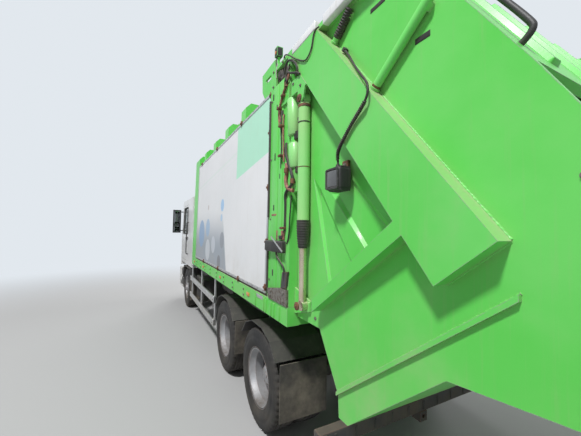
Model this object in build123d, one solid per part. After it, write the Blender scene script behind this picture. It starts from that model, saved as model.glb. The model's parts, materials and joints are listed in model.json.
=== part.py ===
from build123d import *
import math
import os

# A three-axle rear-loading refuse truck, in millimetres. +X is forward, +Y is left and +Z is up.
# The tyres stand on Z = 0. A station is a distance ahead of the seam between the body and the
# tailgate, so the stations of the tailgate are negative.

# Reach of the whole truck from the seam
body_length = 5130
half_width = 1250
tail_rear = 2130
cab_space = 370
cab_length = 2100
bumper_reach = 50
cab_rear = body_length + cab_space
cab_front = cab_rear + cab_length
bumper_front = cab_front + bumper_reach

# Wheels
tyre_radius = 510
tyre_width = 275
rim_radius = 290
rim_wall = 14
tyre_sides = 28
twin_gap = 45
front_tyre_face = half_width - 35
twin_tyre_face = half_width - 25
rear_axle_station = 765
middle_axle_station = 2165
front_axle_station = cab_rear + 700
front_spring_seat = tyre_radius + 80
rear_spring_seat = tyre_radius + 102
spindle_radius = 42
rear_spindle_radius = 62
kingpin_radius = 24
kingpin_inset = 315
kingpin_y = front_tyre_face - kingpin_inset
shaft_clearance = 0.08
run_gap = 6.0
tow_bore_radius = 20

# Chassis frame
rail_inner_y = 350
rail_width = 80
rail_bottom = 780
rail_height = 280
rail_plate = 12
cross_width = 90
cross_inset = 40
engine_bottom = 600
engine_length = 1260
underrun_depth = 90
underrun_bottom = 450
underrun_top = 570
underrun_reach = half_width - 100
tow_block = 90
tow_length = 110
bumper_bottom = 380
bumper_top = 930
rail_rear_station = -380
rail_front_station = cab_front - 160

# Body
floor_bottom = 1280
floor_plate = 60
sill_bottom = 1275
sill_top = 1440
sill_width = 120
bearer_bottom = 1190
bearer_reach = half_width - 150
wall_plate = 40
wall_outer_y = half_width - 55
wall_lean = 32
roof_top = 3585
roof_corner = 110
rib_depth = 40
rib_height = 225
rib_corner = 70
rib_width = 190
rib_count = 6
rib_first = 630
rib_front_inset = 200
rib_pitch = (body_length - rib_first - rib_front_inset) / (rib_count - 1)
ring_length = 470
ring_top = roof_top + 165
ejector_half_width = wall_outer_y - wall_lean - wall_plate - 38
ejector_shoe_y = 600
panel_plate = 15
panel_rear = ring_length + 10
panel_front = body_length - 480
panel_bottom = sill_top + 30
panel_top = roof_top - 30

# Tailgate
tail_gap = 6
tail_wall_y = half_width - 100
tail_wall = 30
tail_roof = roof_top + 85
tail_cover = 40
hinge_station = -65
hinge_z = tail_roof + 57
hinge_radius = 25
lug_radius = 52
lug_plate = 30
lug_gap = 85
hinge_inner_y = tail_wall_y - 140
hinge_y = hinge_inner_y + lug_plate + lug_gap / 2
band_angle = 51.5
band_width = 335
band_root = (-440, tail_roof - 576)
band_length = 1560
flange_start = (-400, 1600)
flange_length = 985
flange_angle = 36.0
flange_depth = 92
frame_depth = half_width - tail_wall_y
cover_bend = -1180
cover_knee = (-1750, 2750)
cover_foot = 2400
sill_rear = -1950
sill_low = 1500
hopper_front = 1360
roof_cap = 40
recess_depth = 22

# Rear corner
guide_radius = 42
guide_top = (8, roof_top - 310)
guide_foot = (-72, 2440)
guide_y = half_width - 45
lamp_pole_radius = 14
lamp_pole_station = 375
lamp_pole_top = ring_top + 222
pocket_depth = 60

# Lamps and mudguards
work_lamp = (-685, 2457)
work_lamp_half = (75, 80)
lamp_inner_y = tail_wall_y + 15
lamp_outer_y = half_width + 35
gland_radius = 15
cable_radius = 10.5
cluster_depth = 60
headlamp_low = 620
headlamp_high = 800
guard_plate = 8

# Lift cylinders
lift_y = half_width - 44
lift_barrel_radius = 50
lift_rod_radius = 30
lift_top = (-178, tail_roof - 455)
lift_foot = (-185, 1500)
lift_barrel_length = lift_top[1] - lift_foot[1] - 687
lift_eye_radius = 50
lift_eye_width = 54
lift_pin_radius = 22
lift_cheek = 15

# Packer
carriage_plate = 70
carriage_length = 800
carriage_start = -300
packer_half_width = tail_wall_y - 55
guide_bar = 40
shoe_depth = 110
blade_length = 850
blade_plate = 60
blade_barrel = 46
blade_angle = 116.7
blade_lug_y = packer_half_width - 95
blade_middle_y = 340
blade_lug = 60
blade_lug_clearance = 10

# Bin lift
comb_pivot = (sill_rear - 80, sill_low + 100)
comb_arm_y = 620
comb_half_width = 800
comb_shaft_radius = 30
comb_bracket_y = 715

# Cab
cab_half_width = half_width - 50
cab_clearance = 70
cab_bottom = 1120
cab_roof = 2950
cab_wall = 50
cab_lip = 1000
cab_pivot = (cab_front - 100, 1050)
cab_pin_radius = 18
step_front = cab_front - 295
screen_foot = 1960
screen_rake = 190
door_rear = cab_rear + 800
door_front = cab_front - 234
door_bottom = 1220
door_top = cab_roof - 160
door_gap = 6
door_pivot_y = cab_half_width + 12
door_hinge_radius = 11
door_pin_radius = 5
door_hinge_heights = (1380, 1840)
screen_half_width = cab_half_width - 110
dash_half_width = cab_half_width - cab_wall - 50
seat_y = cab_half_width - 400
seat_rear = cab_rear + 600
seat_length = 520
seat_top = 1600
wheel_station = cab_front - 640
wheel_z = 1900
mirror_station = cab_front - 170
mirror_inner_y = cab_half_width + 70
mirror_width = 230
mirror_depth = 80
mirror_low = 1990
mirror_high = 2700
mirror_arm_radius = 14
grille_half_width = cab_half_width - 440

# Between the axles
guard_rear = middle_axle_station + 765
guard_front = front_axle_station - 680
guard_rail = 110
guard_post = 60
guard_heights = (420, 820)
tank_outer_y = half_width - 350
tank_width = 600
intake_width = 200
intake_outer_y = half_width - 270
fuel_length = 1200
fuel_outer_y = half_width - 120
battery_length = 800
battery_outer_y = half_width - 130

seam_x = (tail_rear - bumper_front) / 2


def sx(station):
    """Frame X of a station."""
    return seam_x + station


def block(x0, x1, y0, y1, z0, z1):
    """Box between two corners, X given as stations."""
    size = (x1 - x0, y1 - y0, z1 - z0)
    centre = (sx((x0 + x1) / 2), (y0 + y1) / 2, (z0 + z1) / 2)
    return Pos(*centre) * Box(*size)


def side_plate(outline, y0, y1):
    """Outline of (station, z) points carried from y0 to y1."""
    wire = Wire.make_polygon([Vector(sx(x), y0, z) for x, z in outline])
    return Solid.extrude(Face(wire), Vector(0, y1 - y0, 0))


def length_bar(outline, x0, x1):
    """Outline of (y, z) points carried from station x0 to station x1."""
    wire = Wire.make_polygon([Vector(sx(x0), y, z) for y, z in outline])
    return Solid.extrude(Face(wire), Vector(x1 - x0, 0, 0))


def rod_y(station, z, radius, y0, y1):
    """Round bar along Y."""
    plane = Plane(origin=(sx(station), y0, z), x_dir=(1, 0, 0), z_dir=(0, 1, 0))
    return Solid.make_cylinder(radius, y1 - y0, plane)


def rod_z(station, y, radius, z0, z1):
    """Round bar along Z."""
    plane = Plane(origin=(sx(station), y, z0), x_dir=(1, 0, 0), z_dir=(0, 0, 1))
    return Solid.make_cylinder(radius, z1 - z0, plane)


def rod_between(start, end, radius):
    """Round bar between two (station, y, z) points."""
    a = Vector(sx(start[0]), start[1], start[2])
    b = Vector(sx(end[0]), end[1], end[2])
    return Solid.make_cylinder(radius, (b - a).length, Plane(origin=a, z_dir=b - a))


def ring_y(profile, station, y, z, side=1):
    """Profile of (y offset, radius) points turned about a Y axis; side -1 mirrors it."""
    points = [Vector(sx(station), y + side * offset, z + radius) for offset, radius in profile]
    face = Face(Wire.make_polygon(points))
    axis = Axis((sx(station), y, z), (0, 1, 0))
    return Solid.revolve(face, 360, axis)


def both_sides(shape):
    """The shape's solids and their mirror images in one part."""
    solids = shape.solids()
    return Compound(children=solids + [s.mirror(Plane.XZ) for s in solids])


def fuse(*shapes):
    """One solid from shapes that touch."""
    first, *rest = shapes
    return first.fuse(*rest).clean()


def axle_z():
    return tyre_radius


# Points of the tailgate along the slide guides: u runs down and to the rear, n runs up and back
band_u = (-math.cos(math.radians(band_angle)), -math.sin(math.radians(band_angle)))
band_n = (-math.sin(math.radians(band_angle)), math.cos(math.radians(band_angle)))


def on_band(along, across):
    """Station and z of a point along the slide guide and across it from its lower edge."""
    x = band_root[0] + along * band_u[0] + across * band_n[0]
    z = band_root[1] + along * band_u[1] + across * band_n[1]
    return (x, z)


def band_box(along0, along1, across0, across1, y0, y1):
    """Box lined up with the slide guide."""
    corners = [(along0, across0), (along1, across0), (along1, across1), (along0, across1)]
    return side_plate([on_band(*c) for c in corners], y0, y1)


# Chassis
def chassis_rails():
    """Two channels, open towards each other."""
    top = rail_bottom + rail_height
    outer = block(rail_rear_station, rail_front_station, rail_inner_y, rail_inner_y + rail_width,
                  rail_bottom, top)
    hollow = block(rail_rear_station - 1, rail_front_station + 1, rail_inner_y - 1,
                   rail_inner_y + rail_width - rail_plate, rail_bottom + rail_plate, top - rail_plate)
    return both_sides(outer - hollow)


def cross_members():
    """Plain beams from web to web, between the rails' flanges."""
    reach = rail_inner_y + rail_width - rail_plate
    stations = [rail_rear_station + 50, 600, 1465, 2500, 3600, body_length - 130, cab_rear - 50,
                rail_front_station - 140]
    half = cross_width / 2
    return Compound(children=[block(x - half, x + half, -reach, reach, rail_bottom + cross_inset,
                                    rail_bottom + rail_height - cross_inset) for x in stations])


def tow_socket(x0, x1, top):
    """Block under a beam with a bore along X for a recovery eye."""
    body = block(x0, x1, -tow_block / 2, tow_block / 2, top - tow_block, top)
    plane = Plane(origin=(sx(x0) - 1, 0, top - tow_block / 2), x_dir=(0, 1, 0), z_dir=(1, 0, 0))
    return body - Solid.make_cylinder(tow_bore_radius, x1 - x0 + 2, plane)


def tow_sockets():
    front = tow_socket(bumper_front - tow_length, bumper_front, bumper_bottom)
    rear = tow_socket(rail_rear_station, rail_rear_station + underrun_depth, underrun_bottom)
    return Compound(children=[front, rear])


def underrun_bar():
    front = rail_rear_station + underrun_depth
    bar = block(rail_rear_station, front, -underrun_reach, underrun_reach, underrun_bottom, underrun_top)
    hangers = [block(rail_rear_station, front, y, y + rail_width, underrun_top, rail_bottom)
               for y in (rail_inner_y, -rail_inner_y - rail_width)]
    return fuse(bar, *hangers)


def engine_block():
    x0 = cab_rear + 140
    ears = [block(x0 + 260, x0 + 420, y, y + 80, rail_bottom + rail_plate, rail_bottom + 90)
            for y in (-rail_inner_y - 50, rail_inner_y - 30)]
    body = block(x0, x0 + engine_length, -rail_inner_y + 20, rail_inner_y - 20, engine_bottom,
                 cab_bottom - 45)
    return fuse(body, *ears)


def spring_packs():
    y0 = rail_inner_y + 6
    y1 = rail_inner_y + rail_width - 6
    seat = front_spring_seat
    top = rail_bottom
    front = [(-560, top), (-560, seat + 110), (-60, seat), (60, seat), (560, seat + 110), (560, top),
             (480, top), (60, seat + 70), (-60, seat + 70), (-480, top)]
    bogie_half = (middle_axle_station - rear_axle_station) / 2
    centre = (middle_axle_station + rear_axle_station) / 2
    seat = rear_spring_seat
    bogie = [(-bogie_half - 90, seat), (bogie_half + 90, seat), (bogie_half + 90, seat + 38), (160, top),
             (-160, top), (-bogie_half - 90, seat + 38)]
    pieces = [side_plate([(front_axle_station + x, z) for x, z in front], y0, y1),
              side_plate([(centre + x, z) for x, z in bogie], y0, y1)]
    return Compound(children=[s for p in pieces for s in (p, p.mirror(Plane.XZ))])


# Axles and knuckles
def front_axle_beam():
    z = axle_z()
    beam = block(front_axle_station - 45, front_axle_station + 45, -kingpin_y + 30, kingpin_y - 30,
                 z - 40, z + 50)
    pads = [block(front_axle_station - 60, front_axle_station + 60, y, y + rail_width - 12, z + 50,
                  front_spring_seat)
            for y in (rail_inner_y + 6, -rail_inner_y - rail_width + 6)]
    eyes = [rod_z(front_axle_station, side * kingpin_y, 46, z - 55, z + 55) for side in (1, -1)]
    beam = fuse(beam, *pads, *eyes)
    for side in (1, -1):
        beam = beam - rod_z(front_axle_station, side * kingpin_y, kingpin_radius + shaft_clearance,
                            z - 60, z + 60)
    return beam


def knuckle_left():
    z = axle_z()
    station = front_axle_station
    pin = rod_z(station, kingpin_y, kingpin_radius, z - 100, z + 100)
    ears = [block(station - 45, station + 45, kingpin_y - 45, kingpin_y + 110, z + low, z + low + 38)
            for low in (-55 - 1 - 38, 55 + 1)]
    back = block(station - 45, station + 45, kingpin_y + 60, kingpin_y + 110, z - 94, z + 94)
    spindle = rod_y(station, z, spindle_radius, kingpin_y + 105, front_tyre_face - 70)
    return fuse(pin, *ears, back, spindle)


def rear_axle(station):
    z = axle_z()
    reach = twin_tyre_face - tyre_width - twin_gap / 2 + 180
    tube = rod_y(station, z, 78, -560, 560)
    bowl = Pos(sx(station), 0, z) * Sphere(200)
    ends = rod_y(station, z, rear_spindle_radius, -reach, reach)
    pads = [block(station - 70, station + 70, y, y + rail_width - 12, z + 60, rear_spring_seat)
            for y in (rail_inner_y + 6, -rail_inner_y - rail_width + 6)]
    return fuse(tube, bowl, ends, *pads)


# Wheels
def tyre_profile():
    """Half section of a tyre as (y offset, radius) points, round its width."""
    half = tyre_width / 2
    tread = half - 25
    return [(-half + 12, rim_radius), (-half, rim_radius + 60), (-half, rim_radius + 120),
            (-half + 8, tyre_radius - 30), (-tread, tyre_radius), (tread, tyre_radius),
            (half - 8, tyre_radius - 30), (half, rim_radius + 120), (half, rim_radius + 60),
            (half - 12, rim_radius)]


def tyre_at(station, y):
    """Tyre of flat facets: the profile repeated at even angles, its bore clear of the rim."""
    profile = []
    for offset, radius in tyre_profile():
        if radius == rim_radius:
            radius = (rim_radius + 0.3) / math.cos(math.pi / tyre_sides)
        profile.append((offset, radius))
    rows = []
    for step in range(tyre_sides):
        a = 2 * math.pi * step / tyre_sides
        rows.append([Vector(sx(station) + r * math.sin(a), y + offset, axle_z() - r * math.cos(a))
                     for offset, r in profile])
    faces = []
    for step, row in enumerate(rows):
        after = rows[(step + 1) % tyre_sides]
        for index in range(len(profile)):
            near = (index + 1) % len(profile)
            faces.append(Face(Wire.make_polygon([row[index], row[near], after[near], after[index]])))
    return Solid(Shell(faces))


def front_rim_at(station, y, side):
    """Front rim: barrel, dished disc towards the outside and a hub on the spindle."""
    half = tyre_width / 2 - 12
    bore = spindle_radius + shaft_clearance
    barrel = [(-half, rim_radius - rim_wall), (half, rim_radius - rim_wall), (half, rim_radius),
              (-half, rim_radius)]
    disc = [(20, bore), (80, bore), (80, 130), (60, 150), (60, rim_radius - rim_wall + 2),
            (40, rim_radius - rim_wall + 2), (40, 150), (20, 130)]
    cap = [(70, 0), (105, 0), (105, 60), (70, 60)]
    z = axle_z()
    parts = [ring_y(barrel, station, y, z, side), ring_y(disc, station, y, z, side)]
    rim = fuse(*parts)
    cover = fuse(ring_y(cap, station, y, z, side), ring_y([(75, 40), (90, 40), (90, 90), (75, 90)],
                                                         station, y, z, side))
    return fuse(rim, cover)


def twin_rim_at(station, side):
    """Two rims back to back with a hub between them on the axle end."""
    z = axle_z()
    outer_y = twin_tyre_face - tyre_width / 2
    inner_y = outer_y - tyre_width - twin_gap
    half = tyre_width / 2 - 12
    bore = rear_spindle_radius + shaft_clearance
    inside = rim_radius - rim_wall
    parts = []
    for y in (outer_y, inner_y):
        barrel = [(-half, inside), (half, inside), (half, rim_radius), (-half, rim_radius)]
        parts.append(ring_y(barrel, station, side * y, z, side))
    middle = (outer_y + inner_y) / 2
    foot = outer_y - middle - half + 12
    disc = [(-20, bore), (20, bore), (20, 150), (40, 170), (40, 200), (foot, inside + 2),
            (-foot, inside + 2), (-40, 200), (-40, 170), (-20, 150)]
    parts.append(ring_y(disc, station, side * middle, z, side))
    hub = [(-120, bore), (190, bore), (190, 105), (60, 130), (-120, 130)]
    parts.append(ring_y(hub, station, side * middle, z, side))
    cap = [(185, 0), (215, 0), (215, 90), (185, 100)]
    parts.append(ring_y(cap, station, side * middle, z, side))
    return fuse(*parts)


def twin_tyres_at(station, side):
    outer_y = twin_tyre_face - tyre_width / 2
    inner_y = outer_y - tyre_width - twin_gap
    return Compound(children=[tyre_at(station, side * outer_y), tyre_at(station, side * inner_y)])


# Body
def lean_at(z):
    """How far the body side has leaned in at a height."""
    return wall_lean * (z - sill_top) / (roof_top - sill_top)


def hoop_outline(outer_y, top, corner):
    """Closed cross section of the body above the sill: outer_y at the sill, leaning in."""
    shoulder = top - corner
    left = [(outer_y, sill_top), (outer_y - lean_at(shoulder), shoulder),
            (outer_y - lean_at(top) - corner, top)]
    return left + [(-y, z) for y, z in reversed(left)]


def body_floor():
    plate = block(0, body_length, -half_width + 10, half_width - 10, floor_bottom, floor_bottom + floor_plate)
    sill = block(0, body_length, half_width - sill_width, half_width, sill_bottom, sill_top)
    runner = block(0, cab_rear - 110, rail_inner_y, rail_inner_y + rail_width,
                   rail_bottom + rail_height, floor_bottom)
    parts = [plate, sill, sill.mirror(Plane.XZ), runner, runner.mirror(Plane.XZ)]
    for index in range(rib_count):
        station = rib_first + index * rib_pitch
        parts.append(block(station - 50, station + 50, -bearer_reach, bearer_reach, bearer_bottom,
                           floor_bottom))
    return fuse(*parts)


def body_walls():
    front = body_length
    outer = length_bar(hoop_outline(wall_outer_y, roof_top, roof_corner), ring_length, front)
    inner = length_bar([(y * (1 - wall_plate / wall_outer_y), z) for y, z in
                        hoop_outline(wall_outer_y, roof_top - wall_plate, roof_corner)],
                       ring_length - 1, front - wall_plate)
    return outer - inner


def body_ribs():
    """Pressed hoops round the body, and the front posts."""
    outer = hoop_outline(wall_outer_y, roof_top, roof_corner)
    hoop = hoop_outline(wall_outer_y + rib_depth, roof_top + rib_height, rib_corner)
    pieces = []
    for index in range(rib_count):
        station = rib_first + index * rib_pitch
        rib = length_bar(hoop, station - rib_width / 2, station + rib_width / 2)
        pieces.append(rib - length_bar(outer, station - rib_width, station + rib_width))
    top = roof_top + rib_height
    lean_top = lean_at(top)
    inside = wall_outer_y - lean_top - roof_corner
    outline = [(wall_outer_y - 20, sill_top), (half_width, sill_top), (half_width - lean_top, top - rib_corner),
               (half_width - lean_top - rib_corner, top), (inside, top), (inside, roof_top - 20)]
    post = length_bar(outline, panel_front + 6, body_length)
    post = post - length_bar(outer, panel_front, body_length + 1)
    pieces[-1] = fuse(pieces[-1], post, post.mirror(Plane.XZ))
    plate = corner_plate()
    pieces[0] = fuse(pieces[0], plate, plate.mirror(Plane.XZ))
    return Compound(children=pieces)


def corner_plate():
    """Upright plate with a slot on the first rib's shoulder."""
    x0 = ring_length + 10
    low = panel_top + 40
    over = ring_top + 2
    plate = side_plate([(x0, low), (x0, over), (x0 - 44, over), (x0 - 19, low + 304), (x0 + 334, low + 291),
                        (x0 + 323, low + 88), (x0 + 260, low)], half_width - 70, half_width - 48)
    slot = side_plate([(x0 + 70, low + 125), (x0 + 72, low + 187), (x0 + 232, low + 192),
                       (x0 + 198, low + 145)], half_width - 71, half_width - 47)
    return plate - slot


def body_rear_ring():
    outer_y = half_width - 12
    inner_y = wall_outer_y - wall_lean - wall_plate - 12
    outer = block(0, ring_length, -outer_y, outer_y, sill_top, ring_top)
    mouth = block(-1, ring_length + 1, -inner_y, inner_y, sill_top - 1, roof_top - wall_plate - 20)
    ring = outer - mouth
    lugs = []
    for y in (hinge_inner_y, hinge_inner_y + lug_plate + lug_gap):
        lug = side_plate([(0, hinge_z - lug_radius), (hinge_station, hinge_z - lug_radius),
                          (hinge_station - lug_radius, hinge_z), (hinge_station, hinge_z + lug_radius),
                          (0, hinge_z + lug_radius)], y, y + lug_plate)
        lugs += [lug, lug.mirror(Plane.XZ)]
    pocket = block(85, ring_length - 125, outer_y - pocket_depth, outer_y + 1, ring_top - 200, ring_top - 40)
    ring = ring - pocket - pocket.mirror(Plane.XZ)
    foot = lift_foot_plate()
    left = (*hose_guard(), ring_bracket(), corner_lamp())
    extras = [s for piece in left for s in (piece, piece.mirror(Plane.XZ))]
    ring = fuse(ring, *lugs, foot, foot.mirror(Plane.XZ), *extras)
    for side in (1, -1):
        y0, y1 = sorted((side * (hinge_y - lug_gap), side * (hinge_y + lug_gap)))
        ring = ring - rod_y(hinge_station, hinge_z, hinge_radius + shaft_clearance, y0, y1)
    return ring


def hose_guard():
    """Leaning round guard beside the cylinder, on four lugs from the post."""
    top = (guide_top[0], guide_y, guide_top[1])
    foot = (guide_foot[0], guide_y, guide_foot[1])
    pieces = [rod_between(top, foot, guide_radius)]
    drop = guide_top[1] - guide_foot[1]
    for share in (0.27, 0.50, 0.73, 0.93):
        z = guide_top[1] - share * drop
        x = guide_top[0] + share * (guide_foot[0] - guide_top[0])
        outline = [(10, z + 40), (x, z + 12), (x, z - 12), (10, z - 40)]
        pieces.append(side_plate(outline, guide_y - 8, guide_y + 8))
    return pieces


def ring_bracket():
    """Block beside the cylinder's top bracket, on the post."""
    return block(12, 190, half_width - 14, half_width + 6, lift_top[1] + 60, lift_top[1] + 215)


def corner_lamp():
    """Marker lamp on a pole that stands on the corner."""
    y = half_width - 50
    pole = rod_z(lamp_pole_station, y, lamp_pole_radius, ring_top - 5, lamp_pole_top - 20)
    head = block(lamp_pole_station - 32, lamp_pole_station + 32, y - 32, y + 32, lamp_pole_top - 95,
                 lamp_pole_top)
    return fuse(pole, head)


def lift_foot_plate():
    return side_plate([(0, lift_foot[1] - 110), (lift_foot[0], lift_foot[1] - 60),
                       (lift_foot[0] - 60, lift_foot[1] - 40), (lift_foot[0] - 60, lift_foot[1] + 40),
                       (lift_foot[0], lift_foot[1] + 60), (0, lift_foot[1] + 110)],
                      tail_wall_y + run_gap, tail_wall_y + run_gap + 19)


def side_panel_left():
    base = wall_outer_y + rib_depth
    low = base - lean_at(panel_bottom)
    high = base - lean_at(panel_top)
    outline = [(low, panel_bottom), (low + panel_plate, panel_bottom), (high + panel_plate, panel_top),
               (high, panel_top)]
    return length_bar(outline, panel_rear, panel_front)


def ejector_plate():
    y = ejector_half_width
    back = body_length - 400
    low = floor_bottom + floor_plate + 20
    high = roof_top - wall_plate - 60
    outline = [(-y, low), (y, low), (y, high - roof_corner), (y - roof_corner, high), (roof_corner - y, high),
               (-y, high - roof_corner)]
    plate = length_bar(outline, back, back + 60)
    floor = floor_bottom + floor_plate
    shoes = [block(back - 20, back + 260, y0 - 60, y0 + 60, floor + 0.3, floor + 100)
             for y0 in (ejector_shoe_y, -ejector_shoe_y)]
    return fuse(plate, *shoes)


# Tailgate
# Each recess is its outline in the wall's face and the outline of its bed
recesses = [
    ([(-250, 2545), (-361, 2434), (-775, 1862), (-490, 1660)],
     [(-331, 2330), (-334, 2400), (-742, 1846), (-497, 1672)]),
    ([(-505, 2385), (-655, 2540), (-1115, 2105), (-905, 1958)],
     [(-560, 2375), (-655, 2490), (-1080, 2080), (-915, 1966)]),
]
tail_outline = [(-tail_gap, tail_roof), (cover_bend, tail_roof), cover_knee, (sill_rear, cover_foot),
                (sill_rear, sill_low), (-1400, 1440), (-705, 835), (-610, 835), (-600, 983),
                (-360, hopper_front), (-tail_gap, hopper_front)]


def strip(points, plate, y0, y1):
    """A bent plate: the outline points run along its outer face, its thickness lies to their left."""
    inner = []
    count = len(points)
    for index, point in enumerate(points):
        before = points[max(index - 1, 0)]
        after = points[min(index + 1, count - 1)]
        dx1, dz1 = point[0] - before[0], point[1] - before[1]
        dx2, dz2 = after[0] - point[0], after[1] - point[1]
        if index == 0:
            dx1, dz1 = dx2, dz2
        if index == count - 1:
            dx2, dz2 = dx1, dz1
        a1, a2 = math.atan2(dz1, dx1), math.atan2(dz2, dx2)
        half_turn = (a2 - a1) / 2
        mid = a1 + half_turn
        reach = plate / math.cos(half_turn)
        inner.append((point[0] - reach * math.sin(mid), point[1] + reach * math.cos(mid)))
    return side_plate(points + inner[::-1], y0, y1)


def pressed_recess(rim, bed):
    """Shape between an outline in the wall's face and a smaller one at the recess depth."""
    mouth = Wire.make_polygon([Vector(sx(x), tail_wall_y, z) for x, z in rim])
    back = Wire.make_polygon([Vector(sx(x), tail_wall_y - recess_depth, z) for x, z in bed])
    cap = side_plate(rim, tail_wall_y, tail_wall_y + 1)
    return fuse(Solid.make_loft([mouth, back], True), cap)


def tailgate_wall_left():
    wall = side_plate(tail_outline, tail_wall_y - tail_wall, tail_wall_y)
    for rim, bed in recesses:
        wall = wall - pressed_recess(rim, bed)
    return wall


def tailgate_shell():
    y_in = tail_wall_y - tail_wall
    wall = tailgate_wall_left()
    cover = strip(tail_outline[0:3], tail_cover, -y_in, y_in)
    floor = strip(tail_outline[4:], tail_cover, -y_in, y_in)
    sill = block(sill_rear, sill_rear + 80, -y_in, y_in, sill_low, sill_low + 100)
    lugs = []
    for side in (1, -1):
        y0 = side * hinge_y - lug_gap / 2 + 1
        lug = side_plate([(hinge_station + 45, tail_roof - 20), (hinge_station + 45, hinge_z),
                          (hinge_station, hinge_z + 45), (hinge_station - 45, hinge_z),
                          (hinge_station - 45, tail_roof - 20)], y0, y0 + lug_gap - 2)
        pin = rod_y(hinge_station, hinge_z, hinge_radius, side * hinge_y - 76, side * hinge_y + 76)
        lugs += [lug, pin]
    return fuse(wall, wall.mirror(Plane.XZ), cover, floor, sill, *lugs, *bin_lift_brackets())


def on_band_at_height(z, across):
    """Point at a height on the line that runs beside the slide guide."""
    return on_band((z - band_root[1] - across * band_n[1]) / band_u[1], across)


def on_band_at_seam(across):
    return on_band((-tail_gap - band_root[0] - across * band_n[0]) / band_u[0], across)


def flange_outline():
    """Bar that rises to the rear from the lift foot to the lower edge of the slide guide."""
    a = math.radians(flange_angle)
    x, z = flange_start
    dx, dz = -flange_length * math.cos(a), flange_length * math.sin(a)
    down = (-flange_depth * math.sin(a), -flange_depth * math.cos(a))
    return [(x, z), (x + dx, z + dz), (x + dx + down[0], z + dz + down[1]), (x, z + down[1] / math.cos(a))]


def lift_top_bracket():
    """Block over the cylinder's eye, with an outer cheek that carries the pin."""
    x, z = lift_top
    y1 = lift_y + lift_eye_width / 2 + run_gap + lift_cheek
    low = z + 75
    crown = low + 130
    body = side_plate([(x + 150, low), (x + 150, crown), on_band_at_height(crown, 0),
                       on_band_at_height(low, 0)], tail_wall_y, y1)
    cheek = side_plate([(x - 85, low), (x - 60, z - 15), (x - 20, z - 36), (x + 20, z - 36),
                        (x + 36, z - 10), (x + 36, low)], y1 - lift_cheek, y1)
    pin = rod_y(x, z, lift_pin_radius, tail_wall_y, y1 + 8)
    return fuse(body, cheek, pin)


def side_tube(along, across0, across1, radius):
    """Round tube square to the slide guide, on the upper part of the tailgate's side."""
    y = tail_wall_y + run_gap + radius
    low, high = on_band(along, across0), on_band(along, across1)
    tube = rod_between((low[0], y, low[1]), (high[0], y, high[1]), radius)
    foot = band_box(along - radius, along + radius, across1 - 50, across1 - 10, tail_wall_y, y)
    return fuse(tube, foot)


def tail_frames_left():
    y0, y1 = tail_wall_y, half_width
    band = side_plate([on_band_at_seam(0), (-tail_gap, tail_roof), on_band_at_height(tail_roof, band_width),
                       on_band(band_length, band_width), on_band(band_length, 0)], y0, y1)
    flange = side_plate(flange_outline(), y0, y1)
    cap = block(cover_bend - 40, -150, tail_wall_y - 60, half_width - 25, tail_roof, tail_roof + roof_cap)
    tubes = [side_tube(437, band_width - 5, 815, 26), side_tube(-235, band_width - 5, 565, 22)]
    return fuse(band, flange, cap, lift_top_bracket(), *tubes)


def tail_ridge_left():
    """Thin rib that follows the hopper's bottom."""
    outline = [(-603, 983), (-1700, 1862), (-1700, 1890), (-603, 1011)]
    return side_plate(outline, tail_wall_y, tail_wall_y + 22)


def tail_lamps_left():
    """Work lamp on the side with its bracket and gland, cable gland by the guide, and rear cluster."""
    x, z = work_lamp
    half_x, half_z = work_lamp_half
    housing = block(x - half_x, x + half_x, lamp_inner_y, lamp_outer_y, z - half_z, z + half_z)
    bracket = block(x - 25, x + 25, tail_wall_y, lamp_inner_y, z - 45, z + 130)
    inlet = rod_z(cable_route[-1][0], cable_route[-1][1], gland_radius, z + half_z, cable_route[-1][2])
    lamp = fuse(housing, bracket, inlet)
    gland = band_box(-100, -60, 340, 376, tail_wall_y, tail_wall_y + 44)
    cluster = block(sill_rear - cluster_depth, sill_rear, tail_wall_y - 40, half_width - 50, sill_low + 60,
                    sill_low + 470)
    return Compound(children=[lamp, gland, cluster])


def at_guide(along, across, y):
    """Station, y and z of a point given beside the slide guide."""
    x, z = on_band(along, across)
    return (x, y, z)


# The cable leaves its box above the slide guide, follows the guide's ledge, hangs over it and goes
# to the lamp
lamp_top = work_lamp[1] + work_lamp_half[1]
cable_route = [at_guide(-60, 358, tail_wall_y + 26), at_guide(0, 358, tail_wall_y + 26),
               at_guide(85, 353, tail_wall_y + 38), at_guide(170, 351, tail_wall_y + 54),
               at_guide(255, 353, tail_wall_y + 72), at_guide(335, 358, tail_wall_y + 92),
               at_guide(400, 363, tail_wall_y + 108), at_guide(450, 364, tail_wall_y + 119),
               at_guide(482, 358, tail_wall_y + 125), at_guide(509, 340, tail_wall_y + 127),
               at_guide(526, 313, tail_wall_y + 127), at_guide(532, 278, tail_wall_y + 126),
               at_guide(527, 225, tail_wall_y + 121), at_guide(521, 168, tail_wall_y + 118),
               at_guide(524, 105, tail_wall_y + 119), at_guide(531, 45, tail_wall_y + 119),
               at_guide(529, -15, tail_wall_y + 114), (-720, tail_wall_y + 105, lamp_top + 105),
               (-702, tail_wall_y + 97, lamp_top + 86), (-690, tail_wall_y + 88, lamp_top + 64),
               (-685, tail_wall_y + 80, lamp_top + 40), (-685, tail_wall_y + 80, lamp_top + 16)]


def lamp_cable_left():
    """Round cable along its route, each corner an arc as large as its runs allow."""
    points = [Vector(sx(x), y, z) for x, y, z in cable_route]
    radii = []
    for before, point, after in zip(points, points[1:], points[2:]):
        first, second = point - before, after - point
        half_turn = math.radians(first.get_angle(second)) / 2
        radii.append(0.45 * min(first.length, second.length) / math.tan(half_turn))
    print("cable radii", [round(r) for r in radii])
    path = FilletPolyline(*points, radius=radii)
    start = Plane(origin=points[0], z_dir=points[1] - points[0])
    tube = sweep(start * Circle(cable_radius), path)
    share = tube.volume / (math.pi * cable_radius ** 2 * path.length)
    print("cable", round(path.length), "volume share", round(share, 4))
    return tube


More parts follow.
